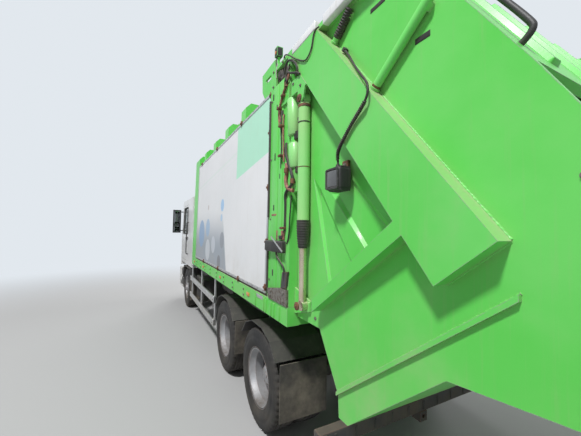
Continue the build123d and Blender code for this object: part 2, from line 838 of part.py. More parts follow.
def lift_barrel_left():
    top_x, top_z = lift_top
    eye = rod_y(top_x, top_z, lift_eye_radius, lift_y - lift_eye_width / 2, lift_y + lift_eye_width / 2)
    eye = eye - rod_y(top_x, top_z, lift_pin_radius + shaft_clearance, lift_y - 60, lift_y + 60)
    dx, dz = lift_foot[0] - top_x, lift_foot[1] - top_z
    length = math.hypot(dx, dz)
    ux, uz = dx / length, dz / length
    start = (top_x + 40 * ux, lift_y, top_z + 40 * uz)
    end = (top_x + lift_barrel_length * ux, lift_y, top_z + lift_barrel_length * uz)
    tube = rod_between(start, end, lift_barrel_radius)
    tube = tube - rod_y(top_x, top_z, lift_eye_radius - 5, lift_y - 60, lift_y + 60)
    body = fuse(tube, eye)
    bore_start = (top_x + 75 * ux, lift_y, top_z + 75 * uz)
    bore_end = (top_x + (lift_barrel_length + 5) * ux, lift_y, top_z + (lift_barrel_length + 5) * uz)
    return body - rod_between(bore_start, bore_end, lift_rod_radius + shaft_clearance)


def lift_rod_left():
    top_x, top_z = lift_top
    foot_x, foot_z = lift_foot
    dx, dz = foot_x - top_x, foot_z - top_z
    length = math.hypot(dx, dz)
    ux, uz = dx / length, dz / length
    start = (top_x + 90 * ux, lift_y, top_z + 90 * uz)
    end = (foot_x - 30 * ux, lift_y, foot_z - 30 * uz)
    rod = rod_between(start, end, lift_rod_radius)
    y0 = tail_wall_y + run_gap + 19 + 0.3
    eye = rod_y(foot_x, foot_z, 42, y0, y0 + 50)
    return fuse(rod, eye)


def carriage():
    across = band_width / 2
    start = carriage_start
    half = carriage_plate / 2
    plate = band_box(start, start + carriage_length, across - half, across + half,
                     -packer_half_width, packer_half_width)
    shoes = []
    for along in (start + 60, start + carriage_length - 220):
        for side in (1, -1):
            y0, y1 = sorted((side * (packer_half_width - 10), side * (tail_wall_y - tail_wall - 0.5)))
            shoes.append(band_box(along, along + 160, across - shoe_depth / 2, across + shoe_depth / 2,
                                  y0, y1))
    body = fuse(plate, *shoes)
    pivot = blade_pivot()
    for y in (-blade_lug_y, -blade_middle_y, blade_middle_y, blade_lug_y):
        lug = band_box(start + carriage_length - 10, start + carriage_length + 90, across - 60, across + 60,
                       y - blade_lug / 2, y + blade_lug / 2)
        body = fuse(body, lug)
    return body - rod_y(pivot[0], pivot[1], blade_barrel + shaft_clearance, -packer_half_width - 1,
                        packer_half_width + 1)


def blade_pivot():
    return on_band(carriage_start + carriage_length + 52, band_width / 2)


def packer_blade():
    px, pz = blade_pivot()
    a = math.radians(-blade_angle)
    d = (-math.cos(a), math.sin(a))
    n = (-d[1], d[0])
    h = blade_plate / 2

    def at(along, across):
        return (px + along * d[0] + across * n[0], pz + along * d[1] + across * n[1])

    plate = side_plate([at(80, -h), at(80, h), at(blade_length, h), at(blade_length, -h)],
                       -packer_half_width + 5, packer_half_width - 5)
    barrel = rod_y(px, pz, blade_barrel, -packer_half_width + 5, packer_half_width - 5)
    webs = []
    inset = blade_lug / 2 + blade_lug_clearance
    for y0, y1 in ((inset - blade_lug_y, -inset - blade_middle_y),
                   (inset - blade_middle_y, blade_middle_y - inset),
                   (inset + blade_middle_y, blade_lug_y - inset)):
        webs.append(side_plate([at(0, -h), at(0, h), at(85, h), at(85, -h)], y0, y1))
    return fuse(plate, barrel, *webs)


def guide_bars():
    y_in = tail_wall_y - tail_wall
    mid = band_width / 2
    reach = shoe_depth / 2 + 1.0
    bars = []
    for low in (mid - reach - guide_bar, mid + reach):
        bars.append(band_box(-300, 1180, low, low + guide_bar, y_in - 20, y_in))
    shapes = []
    for bar in bars:
        shapes += [bar, bar.mirror(Plane.XZ)]
    return Compound(children=shapes)


def bin_lift():
    px, pz = comb_pivot
    arms = []
    for side in (1, -1):
        y0 = side * comb_arm_y - 30
        arms.append(side_plate([(px - 40, pz + 40), (px + 40, pz + 40), (px + 30, 860), (px - 50, 860)],
                               y0, y0 + 60))
    bar = block(px - 60, px + 20, -comb_half_width, comb_half_width, 1180, 1260)
    low = block(px - 60, px + 20, 100 - comb_half_width, comb_half_width - 100, 860, 930)
    shaft = rod_y(px, pz, comb_shaft_radius, -comb_bracket_y - 45, comb_bracket_y + 45)
    teeth = [block(px - 100, px - 60, y - 25, y + 25, 1200, 1330) for y in range(-750, 751, 150)]
    return fuse(*arms, bar, low, shaft, *teeth)


def bin_lift_brackets():
    px, pz = comb_pivot
    pieces = []
    for y in (-comb_bracket_y - 15, comb_bracket_y - 15):
        plate = side_plate([(sill_rear + 1, sill_low), (sill_rear + 1, sill_low + 100),
                            (sill_rear, sill_low + 160), (px, pz + 50), (px - 50, pz), (px, pz - 50)],
                           y, y + 30)
        pieces.append(plate - rod_y(px, pz, comb_shaft_radius + shaft_clearance, y - 5, y + 35))
    return pieces


# Cab
def cab_profile(inset):
    """Side outline of the cab, set in by a wall all round."""
    i = inset
    return [(cab_rear + i, cab_bottom + i), (cab_front - i, cab_bottom + i), (cab_front - i, screen_foot),
            (cab_front - screen_rake - i, cab_roof - 90 - i * 0.4),
            (cab_front - screen_rake - 110 - i, cab_roof - i), (cab_rear + i, cab_roof - i)]


def door_outline(gap):
    """Door outline, grown all round by a gap."""
    g = gap
    rake = screen_rake * (door_top - screen_foot) / (cab_roof - 90 - screen_foot)
    return [(door_rear - g, door_bottom - g), (door_front + g, door_bottom - g),
            (door_front + g, screen_foot), (door_front - rake + g, door_top + g),
            (door_rear - g, door_top + g)]


def door_window(grow=0):
    g = grow
    rake = screen_rake * (door_top - 70 - screen_foot) / (cab_roof - 90 - screen_foot)
    return [(door_rear + 70 - g, screen_foot + 20 - g), (door_front - 70 + g, screen_foot + 20 - g),
            (door_front - 70 - rake + g, door_top - 70 + g), (door_rear + 70 - g, door_top - 70 + g)]


def door_hinge_half(z, reach):
    """Leaf and barrel of a door hinge; reach is how far the leaf runs from the pin."""
    axis_x = door_front + door_gap / 2
    leaf = block(*sorted((axis_x, axis_x + reach)), cab_half_width, cab_half_width + 5, z, z + 30)
    barrel = rod_z(axis_x, door_pivot_y, door_hinge_radius, z, z + 30)
    return fuse(leaf, barrel)


def door_hinges_cab():
    """Fixed halves on the left side, each with its pin."""
    axis_x = door_front + door_gap / 2
    return [fuse(door_hinge_half(z + 30.5, 60),
                 rod_z(axis_x, door_pivot_y, door_pin_radius, z, z + 60)) for z in door_hinge_heights]


def cab_shell():
    shell = side_plate(cab_profile(0), -cab_half_width, cab_half_width)
    shell = shell - side_plate(cab_profile(cab_wall), -cab_half_width + cab_wall, cab_half_width - cab_wall)
    lip = block(cab_front - cab_wall, cab_front, -cab_half_width, cab_half_width, cab_lip, cab_bottom + 10)
    px, pz = cab_pivot
    ears = []
    for side in (1, -1):
        y = side * (rail_inner_y + rail_width / 2)
        lip = lip - block(cab_front - cab_wall - 1, cab_front + 1, y - 40, y + 40, cab_lip - 1, cab_bottom)
        for near in (-61, 31):
            y = side * (rail_inner_y + rail_width / 2) + near
            ear = block(px - 30, px + 30, y, y + 30, pz - 30, cab_bottom + 10)
            ears.append(ear - rod_y(px, pz, cab_pin_radius + shaft_clearance, y - 5, y + 35))
    shell = fuse(shell, lip, *ears)
    screen = block(cab_front - 400, cab_front + 10, -screen_half_width, screen_half_width,
                   screen_foot + 30, cab_roof - 130)
    shell = shell - screen
    doors = side_plate(door_outline(door_gap), -cab_half_width - 1, cab_half_width + 1)
    inside = side_plate(door_outline(door_gap + 5), -cab_half_width + cab_wall, cab_half_width - cab_wall)
    shell = shell - (doors - inside)
    hinges = door_hinges_cab()
    slats = [block(cab_front - 1, cab_front + 16, -grille_half_width, grille_half_width, z, z + 26)
             for z in range(1240, 1760, 74)]
    return fuse(shell, *hinges, *[h.mirror(Plane.XZ) for h in hinges], *slats)


def windscreen():
    foot = screen_foot + 30
    top = cab_roof - 130
    slope = screen_rake / (cab_roof - 90 - screen_foot)
    x0 = cab_front - 30 - (foot - screen_foot) * slope
    x1 = cab_front - 30 - (top - screen_foot) * slope
    outline = [(x0, foot), (x1, top), (x1 - 7, top), (x0 - 7, foot)]
    return side_plate(outline, -screen_half_width, screen_half_width)


def door_left():
    door = side_plate(door_outline(0), cab_half_width - cab_wall, cab_half_width)
    door = door - side_plate(door_window(), cab_half_width - cab_wall - 1, cab_half_width + 1)
    axis_x = door_front + door_gap / 2
    for z in door_hinge_heights:
        half = door_hinge_half(z, -70)
        bore = rod_z(axis_x, door_pivot_y, door_pin_radius + shaft_clearance, z - 1, z + 31)
        door = fuse(door, half - bore)
    return door


def door_glass_left():
    return side_plate(door_window(), cab_half_width - 30, cab_half_width - 24)


def cab_interior():
    floor = cab_bottom + cab_wall
    front = cab_front
    dash = side_plate([(front - 450, floor), (front - 60, floor), (front - 60, screen_foot - 60),
                       (front - 300, screen_foot), (front - 500, 1800), (front - 450, 1500)],
                      -dash_half_width, dash_half_width)
    tunnel = block(cab_rear + 200, front - 440, -260, 260, floor, 1420)
    pieces = [dash, tunnel]
    x = seat_rear
    for y in (-seat_y, seat_y):
        pieces.append(block(x, x + seat_length, y - 250, y + 250, floor, seat_top))
        back = [(x - 40, seat_top - 40), (x + 100, seat_top - 35), (x - 20, seat_top + 750),
                (x - 140, seat_top + 750)]
        pieces.append(side_plate(back, y - 240, y + 240))
    column = rod_between((wheel_station + 220, seat_y, wheel_z - 250), (wheel_station, seat_y, wheel_z), 25)
    wheel_plane = Plane(origin=(sx(wheel_station), seat_y, wheel_z), z_dir=(-220, 0, 250))
    rim = Solid.make_torus(225, 16, wheel_plane)
    spoke = wheel_plane * Box(430, 40, 16)
    solid = fuse(*pieces, column)
    return fuse(solid, spoke, rim)


def mirror_left():
    x = mirror_station
    y1 = mirror_inner_y + mirror_width
    head = block(x - mirror_depth / 2, x + mirror_depth / 2, mirror_inner_y, y1, mirror_low, mirror_high)
    arms = [rod_between((x, cab_half_width, z), (x, mirror_inner_y + 30, z), mirror_arm_radius)
            for z in (mirror_high - 60, mirror_low + 70)]
    return fuse(head, *arms)


def front_bumper():
    bar = block(rail_front_station, bumper_front, -half_width + 30, half_width - 30, bumper_bottom,
                bumper_top)
    mid = block(rail_front_station, bumper_front - 100, -rail_inner_y - rail_width,
                rail_inner_y + rail_width, rail_bottom, bumper_top)
    bar = bar - block(rail_front_station - 1, bumper_front - 60, -half_width + 150, half_width - 150,
                      bumper_bottom - 1, bumper_top - 60)
    wing = block(step_front, rail_front_station, half_width - 150, half_width - 30, bumper_bottom, bumper_top)
    bumper = fuse(bar, mid, wing, wing.mirror(Plane.XZ))
    lamp = headlamp_left()
    return bumper - lamp - lamp.mirror(Plane.XZ)


def headlamp_left():
    return block(bumper_front - 30, bumper_front, half_width - 420, half_width - 110, headlamp_low,
                 headlamp_high)


def mudguard(station, points):
    """Bent plate over a wheel; its points run round the outside, about the axle."""
    outline = [(station + x, z) for x, z in points]
    inner = [(station + x * 0.985, z - guard_plate) for x, z in points]
    return outline + inner[::-1]


def mudguards():
    """Plates over the wheels, each on a bracket from the rail."""
    rail_face = rail_inner_y + rail_width
    rail_top = rail_bottom + rail_height
    outer_y = half_width - 15
    inner_y = front_tyre_face - tyre_width - 10
    r = tyre_radius
    x = front_axle_station
    front = mudguard(x, [(-r - 130, r + 190), (30 - r, rail_top + 15), (r - 30, rail_top + 15),
                         (r + 130, r + 190)])
    pieces = [fuse(side_plate(front, inner_y, outer_y),
                   block(x - 40, x + 40, rail_face, inner_y + 10, rail_top - 25, rail_top + 7.5))]
    for station in (middle_axle_station, rear_axle_station):
        rear = mudguard(station, [(10 - r, r + 350), (150 - r, r + 500), (360 - r, rail_top + 25),
                                  (r - 360, rail_top + 25), (r - 150, r + 500), (r - 10, r + 350)])
        pieces.append(fuse(side_plate(rear, rail_face + 220, outer_y),
                           block(station - 40, station + 40, rail_face, rail_face + 270, rail_top - 20,
                                 rail_top + 17.5)))
    return Compound(children=[s for p in pieces for s in (p, p.mirror(Plane.XZ))])


def steps_left():
    return block(step_front - 440, step_front, cab_half_width - 380, cab_half_width, bumper_bottom,
                 bumper_top)


def cab_pivots():
    px, pz = cab_pivot
    pieces = []
    for side in (1, -1):
        y = side * (rail_inner_y + rail_width / 2)
        post = block(px - 40, px + 40, y - 30, y + 30, bumper_top, pz + 25)
        pieces.append(fuse(post, rod_y(px, pz, cab_pin_radius, y - 62, y + 62)))
        pieces.append(block(cab_rear - 20, cab_rear + 80, y - 40, y + 40, rail_bottom + rail_height,
                            cab_bottom - 0.3))
    return Compound(children=pieces)


def hydraulic_tank():
    return block(body_length, cab_rear - cab_clearance, -tank_outer_y, tank_width - tank_outer_y,
                 floor_bottom, floor_bottom + 670)


def air_intake():
    x0 = body_length + 60
    x1 = cab_rear - cab_clearance
    y1 = intake_outer_y
    duct = block(x0, x1, y1 - intake_width, y1, 1180, cab_roof - 50)
    foot = block(x0, x1 - 20, rail_inner_y + rail_width, y1, rail_bottom + rail_height, 1180)
    return fuse(duct, foot)


def fuel_tank():
    x0 = guard_rear + 370
    return block(x0, x0 + fuel_length, -fuel_outer_y, -rail_inner_y - rail_width, 480, 980)


def battery_box():
    x1 = body_length - 30
    return block(x1 - battery_length, x1, rail_inner_y + rail_width, battery_outer_y, 520, 980)


def side_guards():
    low = guard_heights[0]
    rails = [block(guard_rear, guard_front, half_width - 60, half_width - 30, z, z + guard_rail)
             for z in guard_heights]
    stations = (guard_rear, (guard_rear + guard_front) / 2 - 45, guard_front - 120)
    posts = [block(x, x + guard_post, half_width - 90, half_width - 60, low, sill_bottom) for x in stations]
    guard = fuse(*rails, *posts)
    return both_sides(guard)


nodes = {}
nodes["chassis_rails"] = chassis_rails()
nodes["cross_members"] = cross_members()
nodes["tow_sockets"] = tow_sockets()
nodes["underrun_bar"] = underrun_bar()
nodes["engine_block"] = engine_block()
nodes["spring_packs"] = spring_packs()
nodes["front_axle"] = front_axle_beam()
nodes["drive_axles"] = Compound(children=[rear_axle(middle_axle_station), rear_axle(rear_axle_station)])
nodes["knuckle_left"] = knuckle_left()
nodes["knuckle_right"] = knuckle_left().mirror(Plane.XZ)
front_y = front_tyre_face - tyre_width / 2
for name, side in (("left", 1), ("right", -1)):
    nodes["front_tyre_" + name] = tyre_at(front_axle_station, side * front_y)
    nodes["front_rim_" + name] = front_rim_at(front_axle_station, side * front_y, side)
    nodes["middle_tyres_" + name] = twin_tyres_at(middle_axle_station, side)
    nodes["middle_rims_" + name] = twin_rim_at(middle_axle_station, side)
    nodes["rear_tyres_" + name] = twin_tyres_at(rear_axle_station, side)
    nodes["rear_rims_" + name] = twin_rim_at(rear_axle_station, side)
nodes["body_floor"] = body_floor()
nodes["body_walls"] = body_walls()
nodes["body_ribs"] = body_ribs()
nodes["body_rear_ring"] = body_rear_ring()
nodes["side_panels"] = both_sides(side_panel_left())
nodes["ejector_plate"] = ejector_plate()
nodes["tailgate_shell"] = tailgate_shell()
nodes["tail_frames"] = both_sides(Compound(children=[tail_frames_left(), tail_ridge_left()]))
nodes["tail_lamps"] = both_sides(tail_lamps_left())
nodes["lamp_cable_left"] = lamp_cable_left()
nodes["lamp_cable_right"] = lamp_cable_left().mirror(Plane.XZ)
nodes["guide_bars"] = guide_bars()
nodes["lift_barrel_left"] = lift_barrel_left()
nodes["lift_barrel_right"] = lift_barrel_left().mirror(Plane.XZ)
nodes["lift_rod_left"] = lift_rod_left()
nodes["lift_rod_right"] = lift_rod_left().mirror(Plane.XZ)
nodes["packer_carriage"] = carriage()
nodes["packer_blade"] = packer_blade()
nodes["bin_lift"] = bin_lift()
nodes["cab_shell"] = cab_shell()
nodes["windscreen"] = windscreen()
nodes["door_left"] = door_left()
nodes["door_right"] = door_left().mirror(Plane.XZ)
nodes["door_glass_left"] = door_glass_left()
nodes["door_glass_right"] = door_glass_left().mirror(Plane.XZ)
nodes["cab_interior"] = cab_interior()
nodes["mirrors"] = both_sides(mirror_left())
nodes["front_bumper"] = front_bumper()
nodes["headlamps"] = both_sides(headlamp_left())
nodes["mudguards"] = mudguards()
nodes["steps"] = both_sides(steps_left())
nodes["cab_pivots"] = cab_pivots()
nodes["hydraulic_tank"] = hydraulic_tank()
nodes["air_intake"] = air_intake()
nodes["fuel_tank"] = fuel_tank()
nodes["battery_box"] = battery_box()
nodes["side_guards"] = side_guards()

os.makedirs("parts", exist_ok=True)
for name, shape in nodes.items():
    export_step(shape, "parts/" + name + ".step")
print(len(nodes), "nodes")
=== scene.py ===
"""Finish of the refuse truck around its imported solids. Metres, +X forward, +Y left, +Z up."""
import json
import math

import bmesh
import bpy
import numpy as np
from mathutils import Matrix, Vector


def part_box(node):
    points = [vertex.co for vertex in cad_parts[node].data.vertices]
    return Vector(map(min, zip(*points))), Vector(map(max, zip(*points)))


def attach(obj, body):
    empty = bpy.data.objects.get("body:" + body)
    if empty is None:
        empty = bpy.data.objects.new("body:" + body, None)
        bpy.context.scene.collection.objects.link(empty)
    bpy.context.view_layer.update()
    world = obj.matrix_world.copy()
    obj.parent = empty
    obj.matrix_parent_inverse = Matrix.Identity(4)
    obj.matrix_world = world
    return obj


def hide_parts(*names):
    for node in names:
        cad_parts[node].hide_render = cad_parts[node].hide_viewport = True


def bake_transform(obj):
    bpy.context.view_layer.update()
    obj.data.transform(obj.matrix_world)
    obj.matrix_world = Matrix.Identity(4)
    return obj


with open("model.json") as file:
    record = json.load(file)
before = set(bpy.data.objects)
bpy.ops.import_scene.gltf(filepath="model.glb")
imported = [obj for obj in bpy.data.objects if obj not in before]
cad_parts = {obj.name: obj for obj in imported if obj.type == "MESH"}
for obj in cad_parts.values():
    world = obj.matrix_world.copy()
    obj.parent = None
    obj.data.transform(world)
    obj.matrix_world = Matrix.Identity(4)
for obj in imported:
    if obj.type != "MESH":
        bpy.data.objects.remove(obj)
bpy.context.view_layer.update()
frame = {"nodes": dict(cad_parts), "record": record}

# Places taken from the frame. A station is a distance ahead of the seam at the tailgate.
TAIL_GAP = 0.006
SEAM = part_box("tailgate_shell")[1].x + TAIL_GAP
TYRE_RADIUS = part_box("front_tyre_left")[1].z / 2
SIDES = (("left", 1), ("right", -1))
FORWARD, BACKWARD, LEFT = (1, 0, 0), (-1, 0, 0), (0, 1, 0)
FULL_TURN = 2 * math.pi

# Camera as in the photograph: beside the tail, looking forward along the left side
CAMERA_PLACE = (-5.022, 2.40, 2.108)
CAMERA_YAW = 27.35
CAMERA_PITCH = 2.5
CAMERA_ROLL = 0.9
PHOTO_WIDTH = 581
PHOTO_FOCAL = 290


def spot(station, y, z):
    """A point from a station, a distance to the left and a height, all in millimetres."""
    return np.array([SEAM + station / 1000, y / 1000, z / 1000])


def beside(y, *corners):
    """Points at one distance to the left, from (station, height) pairs."""
    return [spot(x, y, z) for x, z in corners]


def facing(x, *corners):
    """Points at one station, from (left, height) pairs."""
    return [spot(x, y, z) for y, z in corners]


def rectangle(a0, b0, a1, b1):
    """The four corners of a rectangle."""
    return (a0, b0), (a1, b0), (a1, b1), (a0, b1)


# Shapes as arrays: a shape is a pair of points (n, 3) and a list of faces
def surface(points, wrap_u=False, wrap_v=False, caps=False):
    """Quads between the neighbours of a grid points[u, v]; caps closes the first and last row."""
    points = np.asarray(points, float)
    nu, nv = points.shape[:2]
    index = np.arange(nu * nv).reshape(nu, nv)
    if wrap_u:
        index = np.vstack([index, index[:1]])
    if wrap_v:
        index = np.hstack([index, index[:, :1]])
    quads = np.stack([index[:-1, :-1], index[1:, :-1], index[1:, 1:], index[:-1, 1:]], -1)
    faces = quads.reshape(-1, 4).tolist()
    if caps:
        faces.append(index[0][:nv][::-1].tolist())
        faces.append(index[nu - 1][:nv].tolist())
    return points.reshape(-1, 3), faces


def joined(shapes):
    """Several shapes as one, without welding them."""
    points, faces, start = [], [], 0
    for verts, quads in shapes:
        points.append(verts)
        faces += [[i + start for i in face] for face in quads]
        start += len(verts)
    return np.vstack(points), faces


def copies(shape, offsets):
    """The shape at each offset: points plus offset, for all offsets at once."""
    verts, faces = shape
    offsets = np.asarray(offsets, float).reshape(-1, 1, 3)
    points = (verts[None] + offsets).reshape(-1, 3)
    count = len(verts)
    return points, [[i + k * count for i in face] for k in range(len(offsets)) for face in faces]


def mirrored(shape):
    """The shape on the other side of the truck: y becomes -y and each face turns round."""
    verts, faces = shape
    return verts * (1, -1, 1), [face[::-1] for face in faces]


def turned_to(side, shape):
    """The shape on the left as it is, or mirrored for the right."""
    return shape if side > 0 else mirrored(shape)


def spun(shape, centre, count, start=0.0):
    """Copies turned about the Y axis through centre, evenly spaced."""
    verts, faces = shape
    angles = start + np.arange(count) * FULL_TURN / count
    rel = verts - centre
    x = np.cos(angles)[:, None] * rel[:, 0] + np.sin(angles)[:, None] * rel[:, 2]
    z = -np.sin(angles)[:, None] * rel[:, 0] + np.cos(angles)[:, None] * rel[:, 2]
    y = np.broadcast_to(rel[:, 1], x.shape)
    points = np.stack([x, y, z], -1).reshape(-1, 3) + centre
    size = len(verts)
    return points, [[i + k * size for i in face] for k in range(count) for face in faces]


def lathe(profile, centre, axis="y", side=1, steps=24, closed=True):
    """Profile of (outward, radius) points turned about an axis through centre.

    A closed profile makes a ring; an open one is capped where it starts and where it ends."""
    profile = np.asarray(profile, float)
    angle = np.linspace(0, FULL_TURN, steps, endpoint=False)[None]
    first = profile[:, 1:] * np.cos(angle)
    second = profile[:, 1:] * np.sin(angle)
    out = side * profile[:, :1] + 0 * angle
    order = {"x": (out, first, second), "y": (first, out, second), "z": (first, second, out)}[axis]
    return surface(np.stack(order, -1) + centre, wrap_u=closed, wrap_v=True, caps=not closed)


def turned(profile, centre, axis, steps=24):
    """Solid of an open profile, capped at both ends."""
    return lathe(profile, centre, axis, steps=steps, closed=False)


def band(centre, axis, half, first, second, steps):
    """Flat ring between two radii, half its width to each side of centre."""
    return lathe([(-half, first), (half, first), (half, second), (-half, second)], centre, axis, steps=steps)


def slab(outline, y0, y1, edge):
    """Outline of (x, z) points carried from y0 to y1, its rim drawn in by edge at both faces."""
    outline = np.asarray(outline, float)
    centre = outline.mean(0)
    span = np.abs(outline - centre).max(0)
    small = centre + (outline - centre) * (1 - edge / np.maximum(span, 1e-6))
    rows = [(small, y0), (outline, y0 + edge), (outline, y1 - edge), (small, y1)]
    grid = np.stack([np.column_stack([o[:, 0], np.full(len(o), y), o[:, 1]]) for o, y in rows])
    return surface(grid, wrap_v=True, caps=True)


def side_slab(corners, y0, y1, edge):
    """Slab of an outline of (station, height) pairs in millimetres."""
    return slab([point[[0, 2]] for point in beside(0, *corners)], y0, y1, edge)


def rounded(low, high, radius, steps=3):
    """Block whose twelve edges are arcs, made as rings in Z.

    Ring k lies at a height on the quarter arc of the rim and is a rectangle with arc corners,
    drawn in by what that arc leaves."""
    radius = min(radius, *(0.49 * (high - low)))
    turn = np.linspace(0, math.pi / 2, steps + 1)
    corner = np.concatenate([turn + k * math.pi / 2 for k in range(4)])
    signs = np.repeat([(1, 1), (-1, 1), (-1, -1), (1, -1)], steps + 1, axis=0)
    half = (high - low) / 2 - radius
    middle = (high + low) / 2
    ring = signs * half[:2]
    rings = []
    for lift, inset in ([(-math.cos(t), math.sin(t)) for t in turn] +
                        [(math.sin(t), math.cos(t)) for t in turn]):
        xy = middle[:2] + ring + radius * inset * np.column_stack([np.cos(corner), np.sin(corner)])
        z = middle[2] + math.copysign(half[2], lift if lift else 1) + radius * lift
        rings.append(np.column_stack([xy, np.full(len(xy), z)]))
    return surface(np.stack(rings), wrap_v=True, caps=True)


def block(x0, y0, z0, x1, y1, z1, radius, steps=3):
    """Rounded block between two corners in millimetres; its radius is in metres."""
    return rounded(spot(x0, y0, z0), spot(x1, y1, z1), radius, steps)


def blocks(*rows):
    return [block(*row) for row in rows]


def carried(path, radius, sides=12):
    """Round bar along a path: circles square to the path's direction at each point.

    The first side direction is any one square to the first tangent; each next one is the last,
    less its part along the new tangent, so the bar doesn't twist."""
    path = np.asarray(path, float)
    radius = np.broadcast_to(radius, len(path))
    tangent = np.gradient(path, axis=0)
    tangent /= np.linalg.norm(tangent, axis=1)[:, None]
    side = np.cross(tangent[0], (0.31, 0.17, 0.93))
    side /= np.linalg.norm(side)
    frames = []
    for t in tangent:
        side = side - t * (side @ t)
        side = side / np.linalg.norm(side)
        frames.append((side, np.cross(t, side)))
    a = np.array([f[0] for f in frames])[:, None]
    b = np.array([f[1] for f in frames])[:, None]
    turn = np.linspace(0, FULL_TURN, sides, endpoint=False)[None, :, None]
    ring = path[:, None] + radius[:, None, None] * (a * np.cos(turn) + b * np.sin(turn))
    return surface(ring, wrap_v=True, caps=True)


def softened(outline, radius, steps=5):
    """Outline whose corners are parabolas: each runs from radius before its corner to radius after."""
    outline = np.asarray(outline, float)
    ahead = np.roll(outline, -1, 0) - outline
    ahead /= np.linalg.norm(ahead, axis=1)[:, None]
    before = np.roll(-ahead, 1, 0)
    t = np.linspace(0, 1, steps)[None, :, None]
    corner = outline[:, None]
    arc = (1 - t) ** 2 * (corner + radius * before[:, None]) + 2 * t * (1 - t) * corner \
        + t ** 2 * (corner + radius * ahead[:, None])
    return arc.reshape(-1, 3)


def moulding(points, normal, profile):
    """Profile of (inward, outward) points carried round a flat outline.

    Inward runs along the bisector of the two sides at each point, so strips keep their width."""
    points, normal = np.asarray(points, float), np.asarray(normal, float)
    ahead = np.roll(points, -1, 0) - points
    ahead /= np.linalg.norm(ahead, axis=1)[:, None]
    inward = np.cross(normal, ahead)
    before = np.roll(inward, 1, 0)
    shift = (inward + before) / (1 + (inward * before).sum(1, keepdims=True))
    if ((points.mean(0) - points) * shift).sum() < 0:
        shift = -shift
    rows = [points + shift * along + normal * out for along, out in profile]
    return surface(np.stack(rows), wrap_u=True, wrap_v=True)


def straight(start, end, radius, sides, edge=0.002):
    """Round bar between two points with its rims drawn in."""
    along = (end - start) / np.linalg.norm(end - start)
    path = [start, start + along * edge, end - along * edge, end]
    return carried(path, [radius - edge, radius, radius, radius - edge], sides)


def hexagon(centre, normal, size, height):
    """Bolt head: a six-sided prism with a drawn-in top and a washer under it."""
    centre, normal = np.asarray(centre, float), np.asarray(normal, float)
    side = np.cross(normal, (0.3, 0.5, 0.8))
    side /= np.linalg.norm(side)
    over = np.cross(normal, side)

    def prism(sides, rings):
        turn = np.linspace(0, FULL_TURN, sides, endpoint=False)[:, None]
        around = side * np.cos(turn) + over * np.sin(turn)
        rows = [centre + normal * lift + r * around for lift, r in rings]
        return surface(np.stack(rows), wrap_v=True, caps=True)

    washer = prism(12, [(0, size * 0.72), (height * 0.2, size * 0.72)])
    head = prism(6, [(height * 0.2, size * 0.56), (height * 0.85, size * 0.56), (height, size * 0.44)])
    return joined([washer, head])


def bolts(places, normal, size, height):
    return [hexagon(place, normal, size, height) for place in places]


def spline_points(route):
    """Points of the smooth line that a route's spline gives."""
    data = bpy.data.curves.new("route", "CURVE")
    data.dimensions = "3D"
    data.resolution_u = 12
    spline = data.splines.new("NURBS")
    spline.points.add(len(route) - 1)
    for point, place in zip(spline.points, route):
        point.co = (*place, 1.0)
    spline.order_u = 3
    spline.use_endpoint_u = True
    holder = bpy.data.objects.new("route", data)
    mesh = bpy.data.meshes.new_from_object(holder)
    points = np.empty(len(mesh.vertices) * 3)
    mesh.vertices.foreach_get("co", points)
    bpy.data.objects.remove(holder)
    bpy.data.meshes.remove(mesh)
    bpy.data.curves.remove(data)
    return points.reshape(-1, 3)


def hose(route, radius, sides=10):
    """Round bar along a route's spline."""
    return carried(spline_points(route), radius, sides)


def pipe(radius, *points, sides=10):
    """Hose through (station, left, height) points in millimetres."""
    return hose([spot(*point) for point in points], radius, sides)


def evenly(path, spacing, margin=0.0, least=4):
    """Places along a path at even distances, with the distance of each from the path's start."""
    path = np.asarray(path, float)
    length = np.concatenate([[0], np.cumsum(np.linalg.norm(np.diff(path, axis=0), axis=1))])
    even = np.linspace(margin, length[-1] - margin, max(int(length[-1] / spacing), least))
    return np.column_stack([np.interp(even, length, path[:, k]) for k in range(3)]), even


WELD_STEP = 0.007


def weld_bead(path, radius=0.006):
    """Weld along a path: a round bar whose radius swells at each run of the torch."""
    points, even = evenly(path, WELD_STEP)
    swell = radius * (1 + 0.22 * np.sin(even * 620) + 0.12 * np.sin(even * 91))
    return carried(points, swell, 6)


def wrapped(path, reach, pitch, thick, sides=5):
    """Helix round a path: the point at length s stands off by reach, turned by s over the pitch."""
    points, even = evenly(path, pitch / 12, 0.004)
    tangent = np.gradient(points, axis=0)
    tangent /= np.linalg.norm(tangent, axis=1)[:, None]
    side = np.cross(tangent, (0.12, 0.97, 0.21))
    side /= np.linalg.norm(side, axis=1)[:, None]
    over = np.cross(tangent, side)
    turn = (even / pitch * FULL_TURN)[:, None]
    return carried(points + reach * (side * np.cos(turn) + over * np.sin(turn)), thick, sides)


def add(name, shapes, look, body="chassis", smooth=40, pair=False):
    """A piece of shapes: outward faces, smooth below an angle, riding on its body if it has one.

    A pair shows the shapes on both sides of the truck."""
    verts, faces = joined(shapes)
    if pair:
        verts, faces = joined([(verts, faces), mirrored((verts, faces))])
    mesh = bpy.data.meshes.new(name)
    mesh.from_pydata(verts.tolist(), [], faces)
    mesh.update()
    bm = bmesh.new()
    bm.from_mesh(mesh)
    bmesh.ops.recalc_face_normals(bm, faces=bm.faces)
    bm.to_mesh(mesh)
    bm.free()
    mesh.shade_smooth()
    mesh.set_sharp_from_angle(angle=math.radians(smooth))
    piece = bpy.data.objects.new(name, mesh)
    bpy.context.scene.collection.objects.link(piece)
    material, slot = LOOKS[look]
    mesh.materials.append(material)
    if body:
        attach(piece, body)
    return piece


